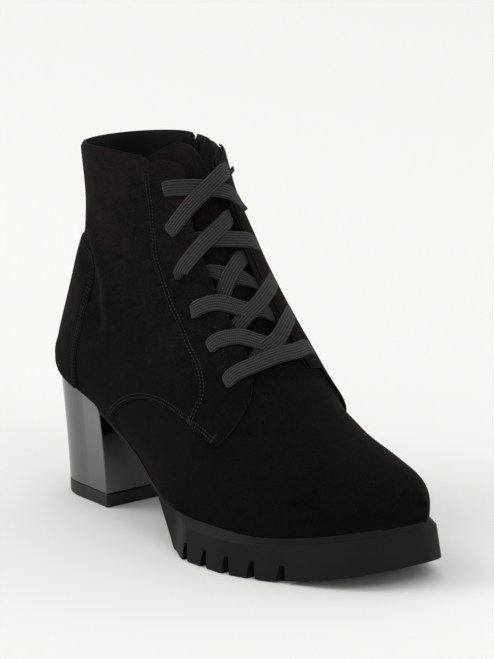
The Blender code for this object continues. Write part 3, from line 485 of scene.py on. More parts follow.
def suedeMaterial(name, lift=1.0):
    # brushed split suede, buffed to a short nap: dull, mottled where the nap lies another way, no gloss
    made, tree, shader = newMaterial(name, Roughness=0.92, Sheen_Weight=0.045, Sheen_Roughness=0.4)
    shader.inputs["Specular IOR Level"].default_value = 0.03
    shader.inputs["Sheen Tint"].default_value = linear("#b7aaa6")
    place = addNode(tree, "ShaderNodeTexCoord").outputs["Object"]
    patch = addNode(tree, "ShaderNodeTexNoise", values={"Scale": perMetre(suedeLook["patch"]), "Detail": 3.0},
                    links={"Vector": place})
    mottle = addNode(tree, "ShaderNodeTexNoise", values={"Scale": perMetre(suedeLook["mottle"]), "Detail": 4.0},
                     links={"Vector": place})
    nap = addNode(tree, "ShaderNodeTexNoise",
                  values={"Scale": perMetre(suedeLook["nap"]), "Detail": 2.0, "Roughness": 0.7},
                  links={"Vector": place})
    split = addNode(tree, "ShaderNodeSeparateXYZ", links={"Vector": place})
    # painted light: the colour gets lighter with height, the shaft painted as lit from above and the forepart as in
    # shade
    rise = addNode(tree, "ShaderNodeMapRange", values={1: 0.02, 2: 0.17}, links={"Value": split.outputs["Z"]})
    both = addNode(tree, "ShaderNodeMath", {"operation": "MULTIPLY_ADD"}, {1: 0.26, 2: 0.03},
                   {0: patch.outputs["Fac"]})
    both = addNode(tree, "ShaderNodeMath", {"operation": "MULTIPLY_ADD"}, {1: 0.28},
                   {0: mottle.outputs["Fac"], 2: both.outputs[0]})
    both = addNode(tree, "ShaderNodeMath", {"operation": "MULTIPLY_ADD"}, {1: 0.52},
                   {0: nap.outputs["Fac"], 2: both.outputs[0]})
    # the painted light from above is added into the colour here
    both = addNode(tree, "ShaderNodeMath", {"operation": "MULTIPLY_ADD"}, {1: 0.25},
                   {0: rise.outputs[0], 2: both.outputs[0]})
    colour = rampOf(tree, both.outputs[0], (
        (0.36, linear(suedeLook["dark"])), (0.62, linear(suedeLook["middle"])), (0.92, linear(suedeLook["light"])),
    ))
    tree.links.new(colour.outputs["Color"], shader.inputs["Base Color"])
    bump = addNode(tree, "ShaderNodeBump", values={"Strength": 0.7, "Distance": suedeLook["napHeight"] * lift},
                   links={"Height": nap.outputs["Fac"]})
    tree.links.new(bump.outputs["Normal"], shader.inputs["Normal"])
    return made


def plainLook(name, colour, size, height, roughness, **values):
    # a moulded or cut surface with a fine grain
    made, tree, shader = newMaterial(name, Roughness=roughness, **values)
    place = addNode(tree, "ShaderNodeTexCoord").outputs["Object"]
    grain = addNode(tree, "ShaderNodeTexNoise", values={"Scale": perMetre(size), "Detail": 3.0},
                    links={"Vector": place})
    broad = addNode(tree, "ShaderNodeTexNoise", values={"Scale": perMetre(size * 30), "Detail": 2.0},
                    links={"Vector": place})
    first, second = (linear(code) for code in colour)
    tone = rampOf(tree, broad.outputs["Fac"], ((0.3, first), (0.7, second)))
    tree.links.new(tone.outputs["Color"], shader.inputs["Base Color"])
    bump = addNode(tree, "ShaderNodeBump", values={"Strength": 0.5, "Distance": height},
                   links={"Height": grain.outputs["Fac"]})
    tree.links.new(bump.outputs["Normal"], shader.inputs["Normal"])
    return made


def laceMaterial():
    # flat woven polyester-cotton lace: ribs along it and fine picks across, dull grey
    made, tree, shader = newMaterial("wovenLace", Roughness=0.88, Sheen_Weight=0.08)
    shader.inputs["Specular IOR Level"].default_value = 0.12
    place = addNode(tree, "ShaderNodeUVMap", {"uv_map": "UVMap"}).outputs["UV"]
    split = addNode(tree, "ShaderNodeSeparateXYZ", links={"Vector": place})
    # u is millimetres along the lace and v millimetres across it
    ribs = addNode(tree, "ShaderNodeMath", {"operation": "MULTIPLY"}, {1: 2 * math.pi / 1.30},
                   {0: split.outputs["Y"]})
    ribs = addNode(tree, "ShaderNodeMath", {"operation": "SINE"}, links={0: ribs.outputs[0]})
    lean = addNode(tree, "ShaderNodeMath", {"operation": "MULTIPLY_ADD"}, {1: 0.9},
                   {0: ribs.outputs[0], 2: split.outputs["X"]})
    picks = addNode(tree, "ShaderNodeMath", {"operation": "MULTIPLY"}, {1: 2 * math.pi / 0.95}, {0: lean.outputs[0]})
    picks = addNode(tree, "ShaderNodeMath", {"operation": "SINE"}, links={0: picks.outputs[0]})
    ribs = addNode(tree, "ShaderNodeMath", {"operation": "MULTIPLY"}, {1: 0.35}, {0: ribs.outputs[0]})
    height = addNode(tree, "ShaderNodeMath", {"operation": "MULTIPLY_ADD"}, {1: 0.6},
                     {0: picks.outputs[0], 2: ribs.outputs[0]})
    height = addNode(tree, "ShaderNodeMath", {"operation": "MULTIPLY_ADD"}, {1: 0.5, 2: 0.5},
                     {0: height.outputs[0]})
    tone = rampOf(tree, height.outputs[0], (
        (0.05, linear("#111112")), (0.6, linear("#2c2c2e")), (1.0, linear("#525254")),
    ))
    tree.links.new(tone.outputs["Color"], shader.inputs["Base Color"])
    bump = addNode(tree, "ShaderNodeBump", values={"Strength": 0.9, "Distance": 0.00025},
                   links={"Height": height.outputs[0]})
    tree.links.new(bump.outputs["Normal"], shader.inputs["Normal"])
    return made


print("materials")
suede = suedeMaterial("brushedSuede")
suedeCut = plainLook("cutSuedeEdge", ("#181516", "#221e1d"), 0.6, 0.0001, 0.95, Specular_IOR_Level=0.1)
liningLook = plainLook("liningMicrofibre", ("#141213", "#1c1a1b"), 0.8, 0.0001, 0.9, Specular_IOR_Level=0.1)
insoleLook = plainLook("insoleLeather", ("#231f1e", "#2c2725"), 1.2, 0.00008, 0.7, Specular_IOR_Level=0.3)
rubber = plainLook("mouldedRubber", ("#0c0b0c", "#100f10"), 0.7, 0.00005, 0.6, Specular_IOR_Level=0.17)
heelCap = plainLook("heelCapRubber", ("#131212", "#181616"), 0.8, 0.00003, 0.5, Specular_IOR_Level=0.3)
thread = plainLook("polyesterThread", ("#171414", "#221e1d"), 0.3, 0.00004, 0.7, Specular_IOR_Level=0.25)
zipTapeLook = plainLook("zipTapeWeave", ("#0f0e0e", "#151414"), 0.5, 0.0001, 0.92, Specular_IOR_Level=0.1)
nickel = plainLook("nickelPlatedZinc", ("#b9b6b0", "#c9c6c0"), 0.4, 0.00001, 0.28, Metallic=1.0)
lacquer = plainLook("highGlossLacquer", ("#050505", "#080808"), 6.0, 0.000004, 0.06, IOR=1.95)
laceLook = laceMaterial()


def onBoot(piece, slotName, *nodes):
    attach(piece, "boot")
    if nodes:
        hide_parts(*nodes)
    return piece


# Upper
print("upper")
wall, panel = upperSizes["wall"], upperSizes["panel"]
quarterLine = sideLine(quarterEdge, overPlatform)
facingLine = sideLine(facingEdge, ofCollar)
counterLine = sideLine(counterEdge, ofCollar)
soleRun = [(x, float(soleTop(x)) - 0.004) for x in np.linspace(along(-0.3), quarterLine[0][0], 12)]
highZ, farX, backX = last["collarHeight"] + 0.02, along(0.80), along(-0.3)
quarterOutline = [*soleRun, *quarterLine, (farX, overPlatform(1.0)), (farX, highZ), (backX, highZ)]
facingOutline = [(facingLine[0][0], 0), (farX, 0), (farX, highZ), (facingLine[-1][0], highZ), *facingLine[::-1]]
counterOutline = [(backX, 0), (counterLine[0][0], 0), *counterLine, (backX, counterLine[-1][1])]


def rolledLift(level):
    # the top edge is turned in over a soft bead
    def lift(base):
        rim = upperSizes["rim"]
        short = np.clip(rim - underTopline(base), 0, rim)
        return level - (rim - np.sqrt(np.maximum(rim**2 - short**2, 0)))

    return lift


vamp = leatherPiece(
    "vamp", (0, 9.2), (0, 1), (150, 112), lambda base: np.zeros(len(base)), wall,
    [overRim, lambda p: besideThroat(p, 0.0006, 0.14)], suede, suedeCut)
onBoot(vamp, "suede", "upper")
quarters = leatherPiece(
    "quarters", (4.6, lastRow), (0, 1), (150, 120), rolledLift(panel), panel + 0.0004,
    [insideOf(quarterOutline), besideThroat, clearOfHoles, underTopline, overRim, besideZip], suede, suedeCut)
onBoot(quarters, "suede")
for side, sRange in ((-1, (0.12, 0.485)), (1, (0.88, 0.515))):
    facing = leatherPiece(
        "facingOuter" if side < 0 else "facingInner", (4.6, lastRow), sRange, (84, 220), rolledLift(2 * panel),
        panel + 0.0001, [insideOf(facingOutline), insideOf(quarterOutline), besideThroat, clearOfHoles, underTopline],
        suede, suedeCut)
    onBoot(facing, "suede")
counter = leatherPiece(
    "counter", (8.6, lastRow), (0, 1), (190, 80), rolledLift(2 * panel), panel + 0.0001,
    [insideOf(counterOutline), overRim], suede, suedeCut)
onBoot(counter, "suede")
lining = leatherPiece(
    "lining", (4.0, lastRow), (0, 1), (120, 90), lambda base: -wall - rolledLift(0.0)(base), upperSizes["lining"],
    [overRim, lambda p: besideThroat(p, 0.0002, 0.14), clearOfHoles, underTopline, besideZip],
    liningLook, liningLook)
onBoot(lining, "lining")


def ringForm(columns, rows, places, uv=None):
    # a closed form: rings of points, each row one ring, merged where they meet
    form, ij = gridForm(columns, rows, uv)
    moveTo(form, places[ij[:, 1], ij[:, 0]])
    bmesh.ops.remove_doubles(form, verts=form.verts, dist=2e-6)
    return form


# Tongue
print("tongue")
tongueSizes = {
    "thickness": 0.0030, "half": 0.0200, "crown": 0.0105, "first": 5.05, "last": 13.6,
    # place in sections, room between the wall and the tongue
    "room": ((5.0, 0.0021), (7.0, 0.0022), (10.0, 0.0024), (12.5, 0.0052), (14.0, 0.0107)),
}


def tonguePlaces(rows=90, around=56):
    rings = []
    for j in range(rows):
        share = j / (rows - 1)
        t = tongueSizes["first"] + (tongueSizes["last"] - tongueSizes["first"]) * share
        angle = 2 * math.pi * np.arange(around + 1) / around
        across = np.sign(np.cos(angle)) * np.abs(np.cos(angle)) ** 0.8
        wider = 0.92 + 0.10 * share + 0.16 * max(share - 0.75, 0) / 0.25
        y = upperSizes["throatMiddle"] + tongueSizes["half"] * across * wider
        s = shareAtY(np.full(around + 1, t), y)
        footEnd = math.sqrt(max(1 - max(1 - share * rows / 3, 0) ** 2, 0))
        ends = footEnd * math.sqrt(1 - max(share * rows - rows + 4, 0) ** 2 / 16.5)
        thick = tongueSizes["thickness"] * np.sign(np.sin(angle)) * np.abs(np.sin(angle)) ** 0.6 * ends / 2
        depth = upperSizes["wall"] + curveAt(tongueSizes["room"], 1, t) + tongueSizes["thickness"] / 2
        places = lastPoints(np.full(around + 1, t), s)
        places = places + lastNormals(np.full(around + 1, t), s) * (thick - depth)[:, None]
        rise = np.clip((share - 0.72) / 0.28, 0, 1) * (1 - np.abs(across) ** 2.2)
        rings.append(places + np.stack([-0.002 * rise, 0 * rise, tongueSizes["crown"] * rise], axis=1))
    return np.array(rings)


tonguePiece = pieceOf("paddedTongue", ringForm(57, 90, tonguePlaces()), suede, outward=True)
onBoot(tonguePiece, "suede", "tongue")

# Lace
print("lace")
laceSizes = {
    "width": 0.0078, "thickness": 0.0013, "ribs": 5, "ribHeight": 0.00002, "step": 0.0009,
    "beside": 0.9,  # share of the width beside a hole
    "over": 0.0023, "hidden": -0.0031,  # heights of the band's middle over the last
}
# courses as (section, y in mm, height in mm); a whole number alone is a hole, counted from below,
# minus on the outer side
laceCourses = (
    # from the bar's middle down through the outer lowest hole and up to the inner top hole
    ((5.38, -1, 2.4), (5.44, -12, 2.5), (5.58, -20, 2.4), -1, (5.50, -15, -3.1), (5.53, -10.5, -1.6),
     (5.60, -4, 0.9), (5.68, 2.8, 2.2), (5.95, 10.5, 2.5), (6.30, 18, 2.4), 2, (6.25, 13, -3.1), (6.28, 8, -1.8),
     (6.38, 2, -0.3), (6.50, -4.7, 0.5), (6.98, -12.5, 2.1), (7.24, -18, 2.35), -3, (7.05, -14, -3.1),
     (7.16, -10.5, -2.4), (7.48, -4.3, -1.1), (7.75, 1, -1.3), (7.98, 6, -2.6), (8.15, 11, -3.1), 4,
     (8.55, 15, 2.4), (8.65, 10, 2.4), (8.78, 4, 1.4), (9.15, -3.5, -0.2), (9.6, -9.5, -2.4), (10.2, -14, -3.1),
     -5, (11.14, -14.5, 2.5), (11.5, -10.5, 2.7), (11.9, -5.5, 3.3), (12.38, 1, 3.5), (12.75, 6.5, 3.2),
     (12.9, 11, 2.6), 6),
    # from the bar's middle through the inner lowest hole and up to the outer top hole
    ((5.38, -1, 2.4), (5.42, 10, 2.5), (5.58, 18, 2.4), 1, (5.45, 13, -3.1), (5.50, 9, -1.8), (5.60, 3, -0.3),
     (5.70, -4, 0.5), (6.05, -12, 2.1), (6.32, -18.5, 2.35), -2, (6.28, -15, -3.1), (6.33, -10.5, -1.6),
     (6.38, -4, 0.9), (6.46, 1.5, 2.0), (6.75, 9.5, 2.5), (7.10, 16, 2.4), 3, (7.05, 12, -3.1), (7.15, 8, -3.0),
     (7.32, 2, -2.75), (7.62, -5.2, -2.7), (8.05, -10.5, -3.0), (8.25, -15, -3.1), -4, (8.68, -16.2, 2.4),
     (9.14, -9.6, 2.5), (9.6, -4.5, 2.0), (10.05, 1, 0.4), (10.4, 6, -2.0), (10.65, 10, -3.1), 5,
     (11.3, 13, 2.4), (11.68, 8.5, 2.2), (11.95, 3, 1.7), (12.2, -3, 1.7), (12.5, -9, 2.3), (12.7, -13.5, 2.4), -6),
)


def laceStations(course):
    # (section, y, height, width share) for every point of a course, with its turns through the holes
    places = []
    for k, stop in enumerate(course):
        if not isinstance(stop, int):
            places.append((stop[0], stop[1] / 1000, stop[2] / 1000, 1.0 if stop[2] > -3 else 0.8))
            continue
        side = 1 if stop > 0 else -1
        t, s = holePlace(holeRows[abs(stop) - 1], side)
        y = float(lastPoints(t, s)[0][1])
        upward = places[-1][2] < -0.001
        heights = (laceSizes["over"], 0.0008, -0.0016, laceSizes["hidden"])
        before, after = course[k - 1], course[k + 1] if k + 1 < len(course) else (t + 0.25, y * 800, 0)
        near = [(t + (other[0] - t) * 0.13, y + (other[1] / 1000 - y) * 0.13) for other in (before, after)]
        widths = (0.7, 0.42, 0.5, laceSizes["beside"]) if upward else (laceSizes["beside"], 0.5, 0.42, 0.7)
        turn = [(*near[0], widths[0]), (t, y, widths[1]), (t, y, widths[2]), (*near[1], widths[3])]
        for (a, b, width), height in zip(turn, reversed(heights) if upward else heights):
            places.append((a, b, height, width))
        if k + 1 == len(course):
            places.append((after[0], after[1] / 1000, laceSizes["hidden"], 0.8))
    return places


def lacePath():
    # samples along the whole lace: points, sideways directions and width shares
    first, second = (laceStations(course) for course in laceCourses)
    stations = np.array(first[::-1] + second[1:])
    t, y = stations[:, 0], stations[:, 1]
    s = shareAtY(t, y)
    flat = lastPoints(t, s)
    normals = lastNormals(t, s)
    points = flat + normals * stations[:, 2:3]
    run = np.zeros_like(flat)
    for k in range(len(flat)):
        before, after = max(k - 1, 0), min(k + 1, len(flat) - 1)
        while before > 0 and np.linalg.norm(flat[k] - flat[before]) < 0.003:
            before -= 1
        if np.linalg.norm(flat[after] - flat[before]) < 0.004:
            before = max(before - 1, 0)
        run[k] = flat[after] - flat[before]
    sides = np.cross(normals, run)
    sides /= np.linalg.norm(sides, axis=1)[:, None]
    for k in np.flatnonzero(stations[:, 3] == laceSizes["beside"]):
        for j in range(max(k - 3, 0), min(k + 4, len(sides))):
            if stations[j, 3] < 0.75:
                sides[j] = sides[k]
    for k in range(1, len(sides)):
        if sides[k] @ sides[k - 1] < 0:
            sides[k] = -sides[k]
    rows = np.hstack([points, sides, stations[:, 3:4]])
    fine = spaced(smoothLine(rows * np.array([1, 1, 1, 1e-4, 1e-4, 1e-4, 1e-4]), 10), laceSizes["step"])
    points, sides, widths = fine[:, :3], fine[:, 3:6] * 1e4, fine[:, 6] * 1e4
    tangents = np.gradient(points, axis=0)
    tangents /= np.linalg.norm(tangents, axis=1)[:, None]
    sides -= tangents * np.sum(sides * tangents, axis=1)[:, None]
    sides /= np.linalg.norm(sides, axis=1)[:, None]
    return points, sides, np.cross(tangents, sides), np.clip(widths, 0.38, 1.0)


def makeLace(around=44):
    points, sides, ups, widths = lacePath()
    angle = 2 * math.pi * np.arange(around + 1) / around
    across = np.sign(np.cos(angle)) * np.abs(np.cos(angle)) ** 0.75
    height = np.sign(np.sin(angle)) * np.abs(np.sin(angle)) ** 0.45
    ribs = np.cos(across * math.pi * laceSizes["ribs"]) * np.sign(height) * laceSizes["ribHeight"]
    rows = len(points)
    lengths = np.concatenate([[0], np.cumsum(np.linalg.norm(np.diff(points, axis=0), axis=1))]) * 1000
    thick = laceSizes["thickness"] / np.sqrt(widths) / 2
    ends = np.clip(np.minimum(np.arange(rows), np.arange(rows)[::-1]) / 2, 0, 1)
    half = laceSizes["width"] / 2 * widths * ends
    places = (points[:, None] + sides[:, None] * (half[:, None] * across)[..., None]
              + ups[:, None] * ((thick * ends)[:, None] * height + ends[:, None] * ribs)[..., None])
    form = ringForm(around + 1, rows, places, lambda i, j: (lengths[j], across[i] * laceSizes["width"] * 500))
    return pieceOf("wovenLace", form, laceLook, outward=True, smooth=60)


onBoot(makeLace(), "lace", "lace_bar", *(f"lace_cross_{k}" for k in range(1, 6)))

# Stitching
print("stitching")
stitchSizes = {"length": 0.0014, "width": 0.00050, "height": 0.00040, "pitch": 0.0018,
               "rows": (0.0010, 0.0026), "tack": 0.0040,
               # bar tacks: place along the last, height as a share, lean in degrees
               "tacks": (((0.558, 0.512), 140), ((0.628, 0.452), 60))}


def addStitch(form, place, run, normal, longer=1.0):
    run = run / np.linalg.norm(run)
    side = np.cross(normal, run)
    half = (stitchSizes["length"] / 2 * longer, stitchSizes["width"] / 2, stitchSizes["height"] / 2)
    matrix = Matrix([[*(float(a * b) for a, b in zip(row, half)), float(p)]
                     for row, p in zip(np.stack([run, side, normal], axis=1), place)] + [[0, 0, 0, 1]])
    bmesh.ops.create_icosphere(form, subdivisions=1, radius=1.0, matrix=matrix)


def stitchLine(form, side, line, lift, upon=None, onto=0.0):
    # a row of stitches along a line given in side view; within another piece's outline it lies on that piece
    spots = spaced(line, stitchSizes["pitch"])
    t, s = placeInSide(side, spots)
    base = lastPoints(t, s)
    lifts = np.full(len(t), lift) if upon is None else np.where(upon(base) > 0, onto, lift)
    places = skin(t, s, lifts)
    good = np.linalg.norm(base[:, [0, 2]] - spots, axis=1) < 0.0012
    good &= onQuarters(base) > 0.0006
    good &= (places[:, 2] > soleTop(places[:, 0]) + 0.0025) & (toplineAt(places[:, 0]) - places[:, 2] > 0.004)
    good &= (besideThroat(places) > 0.002) & (besideZip(places) > 0.001)
    normals = lastNormals(t, s)
    runs = np.gradient(places, axis=0)
    for place, normal, run, keep in zip(places, normals, runs, good):
        if keep:
            addStitch(form, place, run, normal)


def offsetLine(line, distance):
    line = np.array(line)
    run = np.gradient(line, axis=0)
    run /= np.linalg.norm(run, axis=1)[:, None]
    return line + np.stack([-run[:, 1], run[:, 0]], axis=1) * distance


def addTack(form, side, spot, lean, lift):
    # a bar tack: a few stitches close together across the end of a seam
    run = np.array((math.cos(lean), math.sin(lean)))
    line = [np.array(spot) + run * stitchSizes["tack"] * f for f in (-0.5, 0.5)]
    t, s = placeInSide(side, spaced(line, 0.0007))
    places, normals = skin(t, s, np.full(len(t), lift)), lastNormals(t, s)
    along3d = places[-1] - places[0]
    for place, normal in zip(places, normals):
        across = np.cross(normal, along3d)
        addStitch(form, place, across, normal, 1.1)


stitchForm = bmesh.new()
onQuarters, onFacing = insideOf(quarterOutline), insideOf(facingOutline)
seamEnd = 11 * 8 + 1  # the quarters' rows end at the tab's tip; its free edge has none
for side in (-1, 1):
    for row in stitchSizes["rows"]:
        stitchLine(stitchForm, side, offsetLine(facingLine, -row), 2 * panel)
        stitchLine(stitchForm, side, offsetLine(quarterLine[:seamEnd], row), panel, onFacing, 2 * panel)
        stitchLine(stitchForm, side, offsetLine(counterLine, row), 2 * panel)
    for spot, lean in stitchSizes["tacks"]:
        addTack(stitchForm, side, (float(along(spot[0])), overPlatform(spot[1])), math.radians(lean), 2 * panel)
stitches = pieceOf("doubleStitching", stitchForm, thread)
onBoot(stitches, "suede")

# Sole
print("sole")
sole = {
    "seat": 0.0028, "seatEdge": 0.0012, "seatHalf": 0.0245, "seatRound": 0.034,
    "seatStart": -0.0240, "seatEnd": 0.0272, "ledgeRise": 0.0034, "ledgeDepth": 0.0040,
    "flare": 0.0022, "toeSpring": 0.0104, "rampStart": 0.086, "rampEnd": 0.1025,
    "notchHeight": 0.0085, "notchWidth": 0.0052, "notchDepth": 0.012, "groove": 0.0025,
    "tip": 1.0045, "toeRound": 0.0036, "toeFrom": 0.150, "ledgeGap": 0.0006,
    "notches": (0.597, 0.654, 0.714, 0.769, 0.826),
    # place along the last, outer and inner half widths as shares of half the ball's width
    "outline": (
        (0.000, 0.76, 0.76), (0.440, 0.93, 0.86), (0.525, 1.06, 0.95), (0.600, 1.245, 1.030),
        (0.684, 1.240, 1.060), (0.765, 1.120, 1.010), (0.839, 0.920, 0.950), (0.900, 0.730, 0.860),
        (0.950, 0.510, 0.725), (0.982, 0.240, 0.600), (1.0045, -0.280, 0.280),
    ),
}
ballHalf = last["ballWidth"] / 2


def soleFloor(x):
    ramp = np.clip((x - sole["rampStart"]) / (sole["rampEnd"] - sole["rampStart"]), 0, 1)
    toeStart, toeEnd = along(0.742), along(sole["tip"])
    lift = sole["toeSpring"] * np.clip((x - toeStart) / (toeEnd - toeStart), 0, 1) ** 2
    return (soleTop(x) - sole["seat"]) * (1 - ramp) + lift * ramp


def platformShare(x):
    share = np.clip((x - sole["rampStart"]) / (sole["rampEnd"] - sole["rampStart"]), 0, 1)
    return share * share * (3 - 2 * share)


def upperEdge(x):
    # outer and inner half widths of the upper where it meets the sole
    rows = sectionRows(np.arange(8 * backSeamRow + 1) / 8)[::-1]
    half = np.maximum(rows[:, 7], 0) * ballHalf + np.maximum(rows[:, 8], 0) * last["collarWidth"] / 2
    wide = np.interp(x, along(rows[:, 0]), half * np.clip(rows[:, 9], 0, 0.985))
    middle = np.interp(x, along(rows[:, 0]), rows[:, 5] * ballHalf)
    return wide - middle, wide + middle


def soleHalves(x):
    share = (x - last["back"]) / last["length"]
    tip = sole["tip"]
    table = [(-math.sqrt(tip - row[0]), row[1], row[2]) for row in sole["outline"]]
    place = -np.sqrt(np.maximum(tip - share, 0))
    back = np.maximum(x - sole["seatStart"], 0)
    roundBack = sole["seatHalf"] * (1 - np.maximum(1 - back / sole["seatRound"], 0) ** 2.3) ** (1 / 2.3)
    blend = np.clip((share - 0.40) / 0.12, 0, 1)
    blend = blend * blend * (3 - 2 * blend)
    halves = []
    for k in (0, 1):
        nearHeel = np.minimum(roundBack, upperEdge(np.maximum(x, along(0.05)))[k] + sole["seatEdge"])
        waist = np.where(x < sole["seatEnd"], nearHeel, upperEdge(x)[k] + sole["seatEdge"])
        halves.append(waist * (1 - blend) + curveAt(table, k + 1, place) * ballHalf * blend)
    return halves


def planRings(stations, halves, layers):
    # rings round a plan outline, lowest first, closed towards the middle line below and above
    x = np.array(stations)
    outer, inner = halves(x)
    ring = np.concatenate([np.stack([x, -outer], axis=1), np.stack([x, inner], axis=1)[-2:0:-1]])
    middle = np.concatenate([(inner - outer) / 2, ((inner - outer) / 2)[-2:0:-1]])
    run = np.roll(ring, -1, axis=0) - np.roll(ring, 1, axis=0)
    run /= np.maximum(np.linalg.norm(run, axis=1), 1e-9)[:, None]
    inward = np.stack([-run[:, 1], run[:, 0]], axis=1)
    rows = []
    for inset, height in layers:
        moved = inset(ring) if inset is aroundUpper else ring + inward * inset(ring[:, 0])[:, None]
        rows.append(np.column_stack([moved, height(moved[:, 0])]))
    for row, place in ((0, 0), (-1, len(rows) + 1)):
        inset, height = layers[row]
        x = rows[row][:, 0] if inset is aroundUpper else ring[:, 0]
        rows.insert(place, np.column_stack([x, middle, height(x)]))
    rows = np.array(rows)
    return np.concatenate([rows, rows[:, :1]], axis=1)


def applyCuts(piece, cutter):
    # Boolean difference, kept as the piece's mesh; the exact solver turned this sole inside out
    cut = piece.modifiers.new("cut", "BOOLEAN")
    cut.operation, cut.object, cut.solver = "DIFFERENCE", cutter, "MANIFOLD"
    mesh = bpy.data.meshes.new_from_object(piece.evaluated_get(bpy.context.evaluated_depsgraph_get()))
    piece.modifiers.clear()
    piece.data = mesh
    bpy.data.objects.remove(cutter, do_unlink=True)


def addPrism(form, outline, low, high):
    # a flat outline of (x, z) pairs drawn out along y
    face = form.faces.new([form.verts.new((x, low, z)) for x, z in outline])
    out = bmesh.ops.extrude_face_region(form, geom=[face])
    moved = [item for item in out["geom"] if isinstance(item, bmesh.types.BMVert)]
    bmesh.ops.translate(form, verts=moved, vec=(0, high - low, 0))


soleStart, soleEnd = sole["seatStart"], float(along(sole["tip"]))
turn = np.linspace(0, math.pi / 2, 60)


def aroundUpper(ring):
    # the outline's points moved in to the upper's edge, so that the ledge ends where the upper starts
    x = ring[:, 0]
    moved = x - sole["toeRound"] * np.clip((x - sole["toeFrom"]) / (soleEnd - sole["toeFrom"]), 0, 1) ** 3
    outer, inner = (half + sole["ledgeGap"] for half in upperEdge(moved))
    outerSide = np.arange(len(ring)) < len(stations)
    y = np.where(outerSide, np.maximum(ring[:, 1], -outer), np.minimum(ring[:, 1], inner))
    share = platformShare(x)
    return np.column_stack([x + (moved - x) * share, ring[:, 1] + (y - ring[:, 1]) * share])


stations = np.concatenate([
    soleStart + 0.040 * (1 - np.cos(turn[:30])) / (1 - math.cos(turn[29])),
    np.linspace(soleStart + 0.0415, sole["rampEnd"] + 0.010, 90),
    soleEnd - (soleEnd - sole["rampEnd"] - 0.0115) * np.cos(turn),
])
layers = (
    (lambda x: 0.0010 + 0 * x, soleFloor),
    (lambda x: 0.0003 + 0 * x, lambda x: soleFloor(x) + 0.0002),
    (lambda x: 0 * x, lambda x: soleFloor(x) + 0.0008),
    (lambda x: sole["flare"] * platformShare(x) * 0.95, lambda x: wallFoot(x) - 0.0003),
    (lambda x: sole["flare"] * platformShare(x) + 0.0003, lambda x: wallFoot(x) + 0.0001),
    (aroundUpper, lambda x: soleTop(x) - 0.0002),
)


def wallFoot(x):
    return soleTop(x) - sole["seat"] * 0.6 - (sole["ledgeRise"] - sole["seat"] * 0.6) * platformShare(x)


rings = planRings(stations, soleHalves, layers)
outsoleForm = ringForm(rings.shape[1], rings.shape[0], rings)
outsolePiece = pieceOf("mouldedOutsole", outsoleForm, rubber, outward=True, smooth=30)
wedges, grooves = bmesh.new(), bmesh.new()
for share in sole["notches"]:
    x = float(along(share))
    outer, inner = (float(half[0]) for half in soleHalves(np.array([x])))
    wide, high = sole["notchWidth"] / 2, sole["notchHeight"]
    wedge = [(x - wide, -0.001), (x + wide, -0.001), (x + wide * 0.55, high * 0.7), (x + wide * 0.44, high),
             (x - wide * 0.44, high), (x - wide * 0.62, high * 0.7)]
    addPrism(wedges, wedge, -0.07, sole["notchDepth"] - outer)
    addPrism(wedges, wedge, inner - sole["notchDepth"], 0.07)
    groove = [(x - 0.0016, -0.001), (x + 0.0016, -0.001), (x + 0.0011, sole["groove"]), (x - 0.0011, sole["groove"])]
    addPrism(grooves, groove, sole["notchDepth"] - outer - 0.001, inner - sole["notchDepth"] + 0.001)
for form in (wedges, grooves):
    applyCuts(outsolePiece, pieceOf("cuts", form, rubber, outward=True))
outsolePiece.data.set_sharp_from_angle(angle=math.radians(30))
onBoot(outsolePiece, "sole_rubber", "outsole")

# Heel
print("heel")
heel = {"length": 0.0478, "bottomWidth": 0.049, "topWidth": 0.060, "breastRake": 0.0036, "backRake": 0.0019,
        "sides": (0.0014, 0.0036), "topPiece": 0.0068, "corner": 0.0005, "rim": 0.0012}


def heelRing(share, z, inset=0.0):
    # outline of the heel at a share of its height: flat at the breast, round at the back
    breast = heel["length"] / 2 + heel["breastRake"] * share - inset
    back = -heel["length"] / 2 - heel["backRake"] * share**1.6 + inset
    half = (heel["bottomWidth"] + (heel["topWidth"] - heel["bottomWidth"]) * share**1.3) / 2 - inset
    side = half - heel["sides"][0] - (heel["sides"][1] - heel["sides"][0]) * share
    centre = back + (breast - back) * 0.62
    corner = heel["corner"]
    points = [(breast, -half + corner), (breast - corner * 0.3, -half + corner * 0.3), (breast - corner, -half)]
    points += [(breast - corner + (centre - breast + corner) * f, -half + (half - side) * f)
               for f in (0.02, *np.linspace(0.12, 0.9, 8))]
    for a in np.linspace(math.pi / 2, math.pi, 26):
        x = centre + (centre - back) * math.copysign(abs(math.cos(a)) ** (2 / 2.6), math.cos(a))
        points.append((min(x, centre), -side * math.sin(a) ** (2 / 2.6)))
    ring = points + [(x, -y) for x, y in points[-2::-1]]
    return np.array([(x, y, z(x)) for x, y in ring] + [(points[0][0], points[0][1], z(points[0][0]))])


def heelForm(shares, heights, insets):
    rings = [heelRing(share, height, inset) for share, height, inset in zip(shares, heights, insets)]
    for ring, place in ((rings[0], 0), (rings[-1], len(rings) + 1)):
        flat = ring.copy()
        flat[:, 1] = 0
        rings.insert(place, flat)
    rings = np.array(rings)
    return ringForm(rings.shape[1], rings.shape[0], rings)


heelTop = last["heelSeat"] - sole["seat"]
pieceGap = 0.0003  # between pieces that lie on each other
low = heel["topPiece"] + pieceGap
blockShares, blockHeights, blockInsets = [], [], []
blockLevels = ((0.0, 0.0004), (0.007, 0), (0.12, 0), (0.25, 0), (0.4, 0), (0.55, 0), (0.7, 0), (0.85, 0), (1.0, 0))
for part, inset in blockLevels:
    blockShares.append((low + (heelTop - pieceGap - low) * part) / heelTop)
    blockHeights.append(lambda x, part=part: low + (float(soleTop(x)) - sole["seat"] - pieceGap - low) * part)
    blockInsets.append(inset)


